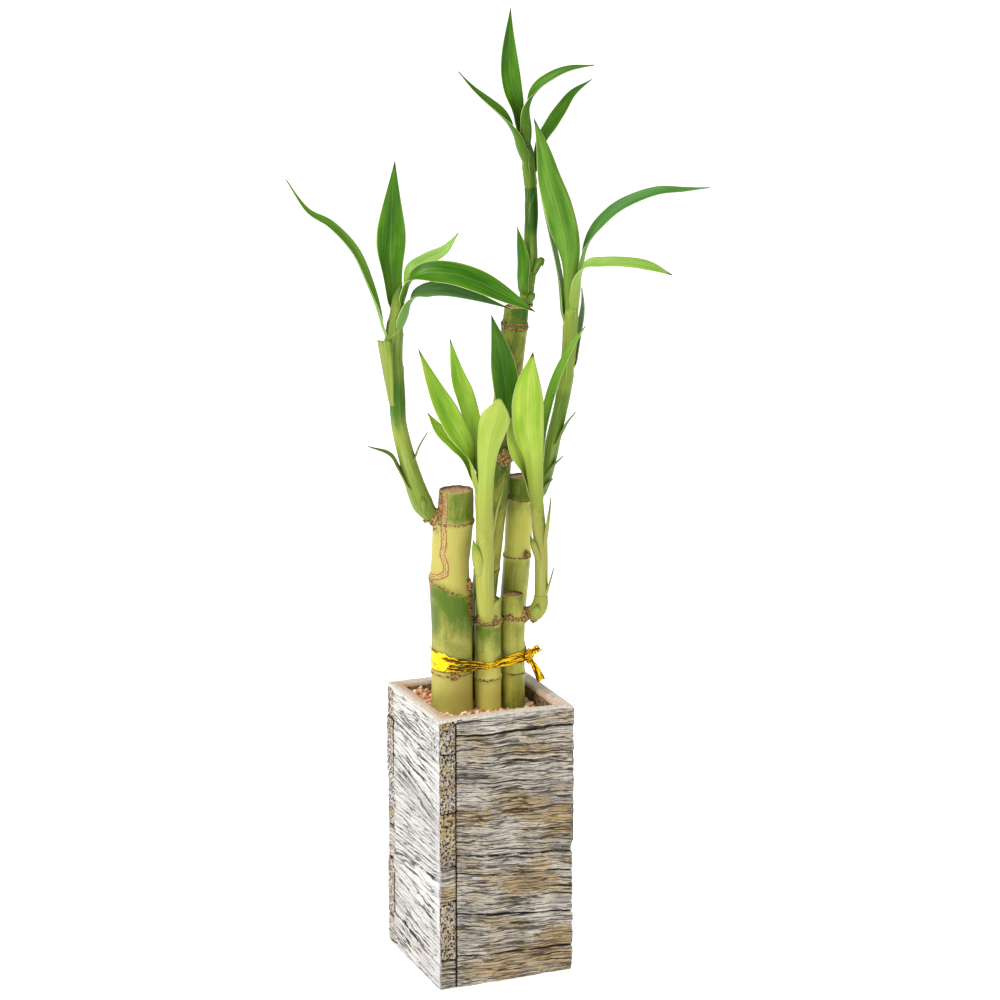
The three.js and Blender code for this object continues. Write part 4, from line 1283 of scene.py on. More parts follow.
@dataclass
class Blade:
    """A blade: a thin arched sheet carried along its route."""

    route: list[Place]
    width: float
    face: Place = (0.0, 0.0, 1.0)
    tip: Place | None = None
    fold: float = 50.0
    peak: float = 0.4
    foot: float = 0.7
    shoulder: float = 1.0
    hug: float = 3.0
    sink: float = 1.3
    taper: float = 1.1

    def span(self, share: float) -> float:
        """Returns the width at a share of the length."""
        heel = 0.5 + 0.5 * smooth(0.0, 0.07, share)
        if share < self.peak:
            rise = math.sin(math.pi / 2 * share / self.peak) ** self.shoulder
            return heel * self.width * (self.foot + (1 - self.foot) * rise)
        fall = math.cos(math.pi / 2 * (share - self.peak) / (1 - self.peak))
        return self.width * max(fall, 0.0) ** self.taper

    def seated(self, shoot: "Shoot") -> "Blade":
        """Returns the blade with its foot on a shoot and its upper side turned to it."""
        route = Route(shoot.rings)
        foot = Vector(self.route[0])
        steps = 120
        nearest = min(range(steps + 1), key=lambda i: (route.at(i / steps) - foot).length) / steps
        axis = route.at(nearest)
        hug = shoot.radius(nearest)
        outward = (foot - axis).normalized()
        seat = axis + outward * (hug + CLEAR + BLADE / 2)
        return replace(self, hug=hug, face=tuple(-outward), route=[tuple(seat), *self.route[1:]])

    def lay(self, shape: Shape, across: int, along: int, thick: float,
            traits: Callable[[float, float, float], dict[str, float]]) -> None:
        """Adds the blade to a mesh: its upper side, then back along its lower side.

        Args:
            shape: The mesh.
            across: Faces across, on each side.
            along: Faces along.
            thick: Its thickness at the middle.
            traits: Gives the points' numbers for the side, the share along and the distance to the margin.
        """
        route = Route(self.route)
        rows = stations(route, along, Vector(self.face), Vector(self.tip or self.face))
        bend_foot = 1 / (self.hug + CLEAR + BLADE / 2)
        bend_tip = math.radians(self.fold) / self.width
        length = route.length()

        def side(u: float) -> tuple[float, float]:
            return (4 * u - 1, 0.5) if u <= 0.5 else (3 - 4 * u, -0.5)

        def place(u: float, v: float) -> Vector:
            row = rows[round(v * along)]
            x, half = side(u)
            radius = 1 / mix(bend_foot, bend_tip, opened(v))
            span = self.span(v)
            angle = span / radius * x / 2
            out = row.up * math.cos(angle) - row.side * math.sin(angle)
            spot = row.place + row.side * (radius * math.sin(angle))
            spot += row.up * (radius * (1 - math.cos(angle)))
            groove = 0.03 * span * math.exp(-((x / 0.12) ** 2)) * smooth(0.05, 0.2, v)
            body = half * thick * math.sqrt(max(1 - x**4, 0.0)) if 0 < v < 1 else 0.0
            sink = row.up * (self.sink * (1 - smooth(0.0, 0.12, v)))
            return spot + out * (body - groove) + sink

        def numbers(u: float, v: float) -> dict[str, float]:
            x = side(u)[0]
            return traits(x, v, (1 - abs(x)) * self.span(v) / 2)

        shape.sheet(2 * across, along, place, (2 * self.width, length), numbers)


@dataclass
class Shoot:
    """A shoot: a round stem wrapped in leaf sheaths, with small scale leaves."""

    name: str
    rings: list[tuple[float, float, float, float]]
    scales: list[Blade]
    finish: ShootFinish
    tones: list[tuple[float, float]]
    scars: list[float]
    swell: float
    sides: int = 40
    step: float = 0.55
    sheath: float = 0.32

    def radius(self, share: float) -> float:
        """Returns the stem's radius at a share of its length."""
        last = len(self.rings) - 1
        i = min(int(share * last), last - 1)
        return mix(self.rings[i][3], self.rings[i + 1][3], share * last - i)

    def deep(self, up: float) -> float:
        """Returns how dark a green the stem is at a height."""
        return by_height(self.tones, up)

    def build(self, leaves: Sequence[Blade]) -> bpy.types.Object:
        """Builds the stem, with a sheath edge below each leaf."""
        route = Route(self.rings)
        length = route.length()
        rows = int(length / self.step)
        front = Vector((0, -1, 0))
        frames = stations(route, rows, front, front)
        edges = []
        for blade in leaves:
            foot = Vector(blade.route[0])
            i = min(range(rows + 1), key=lambda k: (frames[k].place - foot).length)
            out = foot - frames[i].place
            angle = math.atan2(out.dot(frames[i].up), out.dot(frames[i].side))
            edges.append((i / rows * length, angle, 13.0 + 7.0 * grainy(frames[i].place.z * 0.7, 3.0)))
        edges.sort()
        shape = Shape("deep", "edge", "ring", "leafy")

        def sheaths(u: float, v: float) -> tuple[float, float]:
            thick, near, covered = 0.0, 3.0, 0.0
            for at, angle, drop in edges:
                turned = abs((2 * math.pi * u - angle + math.pi) % (2 * math.pi) - math.pi) / math.pi
                margin = at + 0.8 - drop * turned**1.3
                if margin > covered:
                    covered = margin
                    below = margin - v * length
                    thick += self.sheath * smooth(-0.25, 0.25, below) * math.exp(-max(below, 0.0) / 9.0)
                    near = min(near, abs(below))
            return thick, near

        def place(u: float, v: float) -> Vector:
            row = frames[round(v * rows)]
            angle = 2 * math.pi * (u % 1.0)
            radius = self.radius(v) - 0.2 + sheaths(u, v)[0]
            radius += self.swell * math.exp(-((v * length / 5.0) ** 2))
            radius -= sum(0.18 * math.exp(-(((row.place.z - up) / 0.5) ** 2)) for up in self.scars)
            radius *= 1 - 0.8 * smooth(0.9, 1.0, v)
            return row.place + row.side * (radius * math.cos(angle)) + row.up * (radius * math.sin(angle))

        def traits(u: float, v: float) -> dict[str, float]:
            up = frames[round(v * rows)].place.z
            ring = min([abs(up - scar) for scar in self.scars] + [3.0])
            return {"deep": self.deep(up), "edge": sheaths(u, v)[1], "ring": ring}

        widest = max(ring[3] for ring in self.rings)
        shape.sheet(self.sides, rows, place, (2 * math.pi * widest, length), traits)
        open_edges = [edge for edge in shape.bm.edges if edge.is_boundary]
        bmesh.ops.holes_fill(shape.bm, edges=open_edges, sides=self.sides)
        for scale in self.scales:
            deep = self.deep(scale.route[0][2]) * (0.35 if scale.peak > 1 else 1.0)
            most = 0.5 if scale.peak > 1 else 1.0

            def numbers(x: float, v: float, margin: float) -> dict[str, float]:
                return {"deep": deep, "edge": margin * 1.4, "ring": 3.0, "leafy": most * smooth(0.1, 1.0, v)}

            scale.lay(shape, 6, 30, 0.5, numbers)
        node = f"shoot_{self.name}"
        return shape.piece(f"{node}_stem", Turn.PLANT, self.finish.make(), "shoot", node)


def leaf_numbers(x: float, v: float, margin: float) -> dict[str, float]:
    """Returns the numbers that a large leaf holds at a point."""
    return {"across": x, "along": v}


@dataclass
class Leaves:
    """The large leaves of one shoot."""

    name: str
    slot: str
    blades: list[Blade]
    finish: LeafFinish
    across: int = 14
    along: int = 84
    thick: float = 0.5

    def build(self) -> None:
        """Builds each leaf as a piece of its own."""
        materials: dict[LeafFinish, bpy.types.Material] = {}
        for i, blade in enumerate(self.blades, 1):
            finish = LEAF_EXCEPTIONS.get(f"{self.name}_{i}", self.finish)
            if finish not in materials:
                materials[finish] = finish.make()
            shape = Shape("across", "along")
            blade.lay(shape, self.across, self.along, self.thick, leaf_numbers)
            node = f"leaf_{self.name}_{i}"
            shape.piece(f"{node}_blade", Turn.PLANT, materials[finish], self.slot, node)


@dataclass(frozen=True)
class Strand:
    """One strand of the ribbon: its heights and half widths in front and behind."""

    front: tuple[tuple[float, float, float], ...]
    behind: tuple[float, float]
    out: float
    seed: float
    crumple: float

    def lay(self, across: float, is_front: bool) -> tuple[float, float]:
        """Returns the middle height and half width at a place across."""
        if not is_front:
            return self.behind
        marks = self.front
        if across <= marks[0][0]:
            return marks[0][1], marks[0][2]
        for (x0, z0, h0), (x1, z1, h1) in zip(marks, marks[1:]):
            if across <= x1:
                share = smooth(x0, x1, across)
                return mix(z0, z1, share), mix(h0, h1, share)
        return marks[-1][1], marks[-1][2]


@dataclass
class RibbonTie:
    """The gold ribbon held taut round the canes, its knot and its two tails."""

    strands: tuple[Strand, ...] = (
        Strand(((-24, 146.2, 4.7), (-15.5, 145.6, 4.3), (-13.2, 146.6, 2.2), (-8.6, 145.9, 1.5),
                (-2.3, 144.6, 1.3), (4.9, 142.9, 0.9), (11.7, 144.7, 1.3), (18.9, 146.0, 1.2),
                (24, 146, 1.2)), (145.4, 1.6), 0.5, 3.0, 0.4),
        Strand(((-24, 143.4, 1.6), (-15.5, 143.0, 1.6), (-12.5, 142.6, 1.2), (-5, 142.1, 1.0),
                (4.9, 141.9, 0.7), (11.7, 142.2, 0.9), (19.4, 143.2, 1.1), (24, 143.6, 1.1)),
               (142.9, 1.2), 0.35, 8.0, 0.3),
    )
    knot: Place = (22.6, 1.8, 144.4)
    knot_size: Place = (2.1, 2.2, 3.6)
    steps: int = 420
    thick: float = 0.16

    def outline(self, canes: Sequence[Cane], up: float) -> list[Vector]:
        """Returns the taut outline round the canes, in even steps from the left."""
        sections = [cane.section(up) for cane in canes]
        corners = []
        for i in range(720):
            way = Vector((-math.cos(math.pi * i / 360), -math.sin(math.pi * i / 360), 0))
            spots = [Vector((a, b, 0)) + way * (radius + 0.1) for a, b, radius in sections]
            corners.append(max(spots, key=lambda spot: spot.dot(way)))
        lengths = [0.0]
        for a, b in zip(corners, corners[1:] + corners[:1]):
            lengths.append(lengths[-1] + (b - a).length)
        made, i = [], 0
        for step in range(self.steps):
            wanted = lengths[-1] * step / self.steps
            while lengths[i + 1] < wanted:
                i += 1
            share = (wanted - lengths[i]) / max(lengths[i + 1] - lengths[i], 1e-9)
            made.append(corners[i].lerp(corners[(i + 1) % 720], share))
        return made

    def build(self, canes: Sequence[Cane], tails: Sequence[Blade]) -> bpy.types.Object:
        """Builds the strands, the knot and the tails as one piece."""
        shape = Shape("crumple_and_dark_reflection")
        path = self.outline(canes, 144.4)
        count = len(path)
        for strand in self.strands:

            def place(u: float, v: float, strand: Strand = strand) -> Vector:
                i = round(v * count) % count
                spot = path[i]
                way = (path[(i + 1) % count] - path[i - 1]).normalized()
                out = Vector((way.y, -way.x, 0))
                is_front = out.y < 0.25
                middle, half = strand.lay(spot.x, is_front)
                far = v * 60.0
                pleat = math.sin(u * 9.0 + 3.0 * grainy(far * 0.8, strand.seed)) * strand.crumple
                pleat *= min(1.0, 1.2 / half)
                fold = 0.35 * grainy(far * 1.7, u * 2.0, strand.seed)
                fold += 0.2 * grainy(far * 4, u * 5, strand.seed)
                fold *= min(1.0, 2.0 / half)
                lift = 0.25 * grainy(far * 1.3, strand.seed, 3.0)
                away = max(strand.out + 0.4 * pleat + fold * min(strand.crumple * 2.2, 1.0), 0.06)
                return spot + out * away + Vector((0, 0, middle + lift + half * (2 * u - 1)))

            # How crumpled the ribbon is, which also deepens its painted dark reflections
            def crumple_and_dark_reflection(u: float, v: float) -> dict[str, float]:
                across = path[round(v * count) % count].x
                right = 1 - 0.55 * smooth(0.0, 8.0, across)
                return {"crumple_and_dark_reflection": 0.1 + 0.9 * smooth(-15.5, -12.5, across) * right}

            shape.sheet(14, count, place, (4.0, 150.0), crumple_and_dark_reflection, thick=self.thick)
        for seed, squash in enumerate(((1.0, 1.0, 1.0), (1.12, 1.1, 0.5), (0.8, 1.15, 0.82))):
            size = [side * share for side, share in zip(self.knot_size, squash)]
            made = shape.lump(self.knot, size, 0.16, seed * 4.0, {"crumple_and_dark_reflection": 0.8}, 5)
            for vert in made:
                off = vert.co - Vector(self.knot)
                around = math.atan2(off.y, off.x)
                ridge = abs(grainy(off.z * 0.9 + off.x * 0.7, seed * 3.0 + around * 0.8))
                vert.co -= off.normalized() * ridge * 0.9
        for i, tail in enumerate(tails):
            self.tail(shape, tail, i)
        material = RibbonFinish("gold ribbon").make()
        return shape.piece("ribbon_strands", Turn.PLANT, material, "ribbon", "ribbon_tie")

    def tail(self, shape: Shape, tail: Blade, number: int) -> None:
        """Adds a loose crumpled end."""
        route = Route(tail.route)
        rows = stations(route, 60, Vector(tail.face), Vector(tail.face))

        def place(u: float, v: float) -> Vector:
            row = rows[round(v * 60)]
            half = tail.width / 2 * (0.55 + 0.5 * smooth(0, 0.7, v))
            half *= 1 + 0.12 * grainy(v * 5, number * 5.0)
            curl = 0.5 * math.sin(u * 5.5 + v * 5 + number) + 0.45 * grainy(u * 3, v * 7, number * 7.0)
            ragged = 0.7 * grainy(u * 6, number * 9.0) * smooth(0.85, 1.0, v)
            return row.place + row.side * (half * (2 * u - 1)) + row.up * curl + row.along * ragged

        size = (tail.width, route.length())
        shape.sheet(16, 60, place, size, lambda u, v: {"crumple_and_dark_reflection": 0.8}, thick=self.thick)


@dataclass(frozen=True)
class Studio:
    """The camera of the photograph, a plain pale floor and soft light."""

    spot: Place = (-503.86, -1228.9, 565.8)
    tilt: float = 75.324
    turn: float = -22.7
    lens: float = 110.55
    centre: Place = (0.0, 0.0, 200.0)
    sky: float = 0.5
    floor_glow: float = 0.8

    def camera(self) -> None:
        """Places the camera."""
        data = bpy.data.cameras.new("camera")
        data.lens = self.lens
        data.sensor_width = 36.0
        data.clip_end = 20.0
        made = bpy.data.objects.new("camera", data)
        made.location = Vector(self.spot) * MM
        made.rotation_euler = (math.radians(self.tilt), 0.0, math.radians(self.turn))
        bpy.context.scene.collection.objects.link(made)
        bpy.context.scene.camera = made

    def lamp(self, name: str, azimuth: float, rise: float, far: float, size: float, power: float) -> None:
        """Places an area light that looks at the middle of the plant.

        Args:
            name: Its name.
            azimuth: The way to it in degrees, from the camera's side; positive is to the right.
            rise: How steeply above, in degrees.
            far: Its distance in metres.
            size: Its side in metres.
            power: Its power in watts.
        """
        around = math.radians(azimuth + self.turn)
        up = math.radians(rise)
        way = Vector((math.sin(around) * math.cos(up), -math.cos(around) * math.cos(up), math.sin(up)))
        data = bpy.data.lights.new(name, "AREA")
        data.shape = "SQUARE"
        data.size = size
        data.energy = power
        made = bpy.data.objects.new(name, data)
        made.location = Vector(self.centre) * MM + way * far
        made.rotation_euler = way.to_track_quat("Z", "Y").to_euler()
        bpy.context.scene.collection.objects.link(made)

    def floor(self) -> None:
        """Lays a wide white floor that isn't part of the object."""
        shape = bmesh.new()
        bmesh.ops.create_grid(shape, x_segments=1, y_segments=1, size=20.0)
        mesh = bpy.data.meshes.new("floor")
        shape.to_mesh(mesh)
        shape.free()
        looks = Looks("floor")
        tint = looks.cloud(looks.space(), (0.002, 0.002, 0.002))
        white = looks.blend(rgb(240, 240, 240), rgb(244, 244, 244), tint)
        looks.feed(looks.shader.inputs["Emission Color"], (1.0, 1.0, 1.0, 1.0))
        mesh.materials.append(looks.finish(white, 0.9, Emission_Strength=self.floor_glow))
        made = bpy.data.objects.new("floor", mesh)
        made.location = (0.0, 0.0, -0.0005)
        bpy.context.scene.collection.objects.link(made)

    def build(self) -> None:
        """Sets up the picture."""
        scene = bpy.context.scene
        scene.view_settings.view_transform = "Standard"
        world = bpy.data.worlds.new("white")
        world.use_nodes = True
        tree = world.node_tree
        seen = tree.nodes.new("ShaderNodeLightPath").outputs["Is Camera Ray"]
        strength = tree.nodes.new("ShaderNodeMapRange")
        tree.links.new(seen, strength.inputs["Value"])
        strength.inputs["To Min"].default_value = self.sky
        tree.links.new(strength.outputs["Result"], tree.nodes["Background"].inputs["Strength"])
        tree.nodes["Background"].inputs["Color"].default_value = (1.0, 1.0, 1.0, 1.0)
        scene.world = world
        self.camera()
        self.floor()
        self.lamp("key", -58.0, 46.0, 1.6, 0.9, 24.0)
        self.lamp("fill", 35.0, 30.0, 1.8, 1.2, 5.0)


# Each ring of a cane: across, back, up, radius, and the slope of the ring
CANE_RINGS: dict[str, list[Ring]] = {
    "left": [
        (-12.3, -4, 74, 9.3, 0), (-12.3, -4, 120, 9.4, 0), (-12.3, -4, 137.6, 9.3, 0),
        (-12.3, -4, 139.4, 9.7, 0), (-12.3, -4, 141.2, 9.1, 0), (-12.3, -4, 160, 9.2, -0.1),
        (-12.6, -4, 173, 9.6, -0.35), (-12.8, -4, 179.4, 10, -0.42), (-13, -4, 182.6, 8.9, -0.4),
        (-13, -4, 190.5, 8.5, -0.1), (-12.2, -4, 200, 8.9, 0), (-11.7, -4, 207, 9, 0),
        (-11.2, -4, 209.4, 9.3, 0), (-10.6, -4, 211.8, 8.2, 0), (-10.2, -4, 219, 7.9, 0),
        (-10.1, -4, 223.6, 7.7, 0),
    ],
    "front": [
        (4, -0.5, 72, 6, 0), (4, -0.5, 120, 6, 0), (4, -0.5, 133.6, 6, 0), (4, -0.5, 135.4, 6.5, 0.05),
        (4, -0.5, 137.2, 6, 0), (4, -0.5, 150, 6, 0), (4, -0.5, 160.4, 6, 0), (4, -0.5, 162.2, 6.5, 0),
        (4, -0.5, 164.2, 5.9, 0), (4, -0.5, 171.8, 5.7, 0),
    ],
    "right": [
        (15.6, 3.5, 72, 5.3, 0), (15.6, 3.5, 120, 5.3, 0), (15.5, 3.5, 134.8, 5.2, 0),
        (15.5, 3.5, 136.6, 5.5, -0.05), (15.5, 3.5, 138.4, 5.2, 0), (15.4, 3.5, 152, 5.2, 0),
        (15.4, 3.5, 160.6, 5.4, 0), (15.5, 3.5, 162.6, 5.4, -0.06), (15.4, 3.5, 164.6, 5.2, 0),
        (15.2, 3.5, 173, 4.9, 0),
    ],
    "back": [
        (11.5, 17.5, 76, 6, 0), (11.5, 17.5, 120, 6, 0), (14.6, 18.9, 156, 6.1, 0), (16.6, 19.8, 178, 6.2, 0),
        (17.1, 20, 185, 6.2, 0), (17.2, 20, 187, 6.6, -0.06), (17.4, 20.1, 189, 6.2, 0),
        (18.2, 20.4, 204, 6.3, 0), (18.4, 20.5, 212, 6.2, 0), (18.5, 20.5, 214, 6.7, -0.12),
        (18.6, 20.5, 216, 6.1, 0), (18.7, 20.5, 223.6, 6, 0),
    ],
    "tall": [
        (-11.2, 12, 52, 5.9, 0), (-3.6, 12.2, 120, 5.9, 0), (1, 12.4, 161, 5.9, 0), (3.1, 12.5, 180, 5.8, 0),
        (3.4, 12.5, 182, 6.1, 0.05), (3.6, 12.5, 184, 5.8, 0), (6.2, 12.8, 207, 5.7, 0),
        (9.1, 13.2, 234, 5.7, 0), (10.1, 13.4, 242, 5.8, 0), (13, 13.8, 268, 5.8, 0),
        (15.7, 14.2, 292.6, 5.8, -0.1), (15.9, 14.2, 294.8, 6.3, -0.16), (16.2, 14.2, 297, 5.5, -0.1),
        (16.8, 14.3, 303, 5.4, -0.05),
    ],
}

# Each ring of a shoot: across, back, up and radius
SHOOT_RINGS: dict[str, list[tuple[float, float, float, float]]] = {
    "left": [
        (-20.4, -4, 210.6, 3.4), (-25, -5, 217.4, 5), (-28.6, -5.5, 227, 4.6), (-31.5, -6, 237.5, 4),
        (-34, -6, 247.5, 3.8), (-35.5, -6, 256, 3.6), (-36, -6, 266, 3.8), (-37, -6, 277, 4.1),
        (-37.5, -6, 287.5, 4), (-36.5, -6, 299.5, 3.4), (-35, -6, 311, 2.8), (-33.5, -6, 318, 1.9),
    ],
    "front": [
        (3.6, -7.9, 164.5, 2.6), (3.4, -11.2, 169, 3.9), (3, -11.6, 175, 4.2), (2.5, -11.4, 184.5, 4.1),
        (2.5, -11.2, 196, 4), (2.5, -11, 207.5, 3.8), (2.5, -11, 219, 3.8), (2, -11, 230.5, 3.5),
        (2, -11, 239.5, 2.9), (2, -11, 247.5, 2),
    ],
    "right": [
        (22.4, 3, 163, 3), (25, 3, 164.4, 4.1), (27.4, 3, 168, 3.9), (28, 3, 174, 3.2), (28, 3, 182, 3.1),
        (28, 3, 190, 3.1), (27.5, 3, 200, 3.1), (26.5, 3, 211, 3), (25.5, 3, 221.5, 3), (24.5, 3, 231.5, 2.8),
        (24, 3, 240, 2.1),
    ],
    "back": [
        (25.8, 20.6, 214.4, 2.7), (27.4, 21, 217, 3.5), (29.4, 21.2, 222.5, 3.6), (31.8, 21, 232, 3.5),
        (34, 20, 243.5, 3.5), (36.5, 18.5, 255, 3.3), (38.5, 17.5, 266, 3.2), (39.5, 16.5, 276.5, 3.2),
        (40.5, 15.5, 287, 3.3), (41, 14.5, 298.5, 3.2), (42, 13.5, 309, 2.9), (42.5, 13, 317, 2),
    ],
    "tall": [
        (20.6, 20.3, 302.6, 2.9), (21.2, 20.4, 307, 3.3), (21.8, 20, 314, 3.6), (23, 19.6, 324, 3.3),
        (23, 19.5, 334, 3), (23.5, 19.5, 344.5, 3), (23, 19, 355.5, 2.7), (22, 18.5, 367.5, 2.8),
        (20, 18, 377.5, 2.7), (18.5, 17.5, 386, 1.9),
    ],
}

# Scale leaves on the shoots, too small to be pieces of their own
SCALES: dict[str, list[Blade]] = {
    "left": [
        Blade([(-30.5, -8, 223), (-36, -8.6, 235), (-40, -9, 241.5), (-49.5, -11, 245.5)],
              width=6, face=(1, 0, 0.4)),
        Blade([(-30, -6, 233), (-27.5, -7, 241), (-25.5, -8, 246), (-22.5, -9, 251.5)],
              width=4.4, face=(-1, 0, 0.2)),
        Blade([(-24, -8.6, 213), (-24.8, -9.9, 219), (-24.4, -10, 222.5)], width=3.6, face=(0, 1, 0)),
        Blade([(-38.4, -8.8, 261), (-40, -9.7, 278), (-41.8, -9.5, 292.6)],
              width=9.5, face=(0.65, 0.76, 0), peak=1.3, foot=0.3),
    ],
    "front": [
        Blade([(0.4, -14.8, 185), (-0.9, -15.1, 195.5), (-2.6, -14.7, 204)], width=5.2, face=(0.3, 1, 0)),
        Blade([(5.6, -9.6, 200), (8.4, -8.6, 216), (11.8, -8, 229.5)], width=3.4, face=(-1, 0.2, 0)),
        Blade([(5.4, -12.6, 168.6), (8, -12.2, 172.6), (10.4, -11, 176)], width=5, face=(-1, 0.6, 0)),
    ],
    "right": [
        Blade([(29.5, 1.4, 193), (31, 0.8, 206), (32.2, 0.4, 219.5)], width=4, face=(-1, 0.5, 0)),
        Blade([(27, 0.4, 188), (24.5, -0.4, 196.5), (23, -1, 202)], width=3.6, face=(0.6, 1, 0)),
        Blade([(30, 2.4, 171), (32, 2, 179), (33.6, 1.6, 186)], width=3.8, face=(-1, 0.3, 0)),
        Blade([(24.5, -0.4, 163), (26, -0.9, 167), (26.4, -0.7, 170)], width=4, face=(0, 1, 0)),
    ],
    "back": [
        Blade([(34.5, 17.6, 238), (39.5, 16.5, 249), (43.5, 15.5, 255)], width=4, face=(-1, 0.4, 0)),
        Blade([(30, 18.6, 224), (34.4, 18, 230), (38, 17.6, 234)], width=4, face=(-1, 0.4, 0.3)),
        Blade([(28, 18.4, 216), (31, 17.8, 220.5), (33.4, 17.6, 223.5)], width=4, face=(-1, 0.4, 0.3)),
    ],
    "tall": [
        Blade([(23.6, 16.8, 316), (26.4, 15.8, 322), (28, 15.8, 323.6), (28.4, 15.8, 320.5)],
              width=3.6, face=(0, 1, 0)),
        Blade([(22, 17.4, 303), (23.8, 16.4, 307), (25, 16.4, 309)], width=3.6, face=(-0.6, 1, 0)),
    ],
}

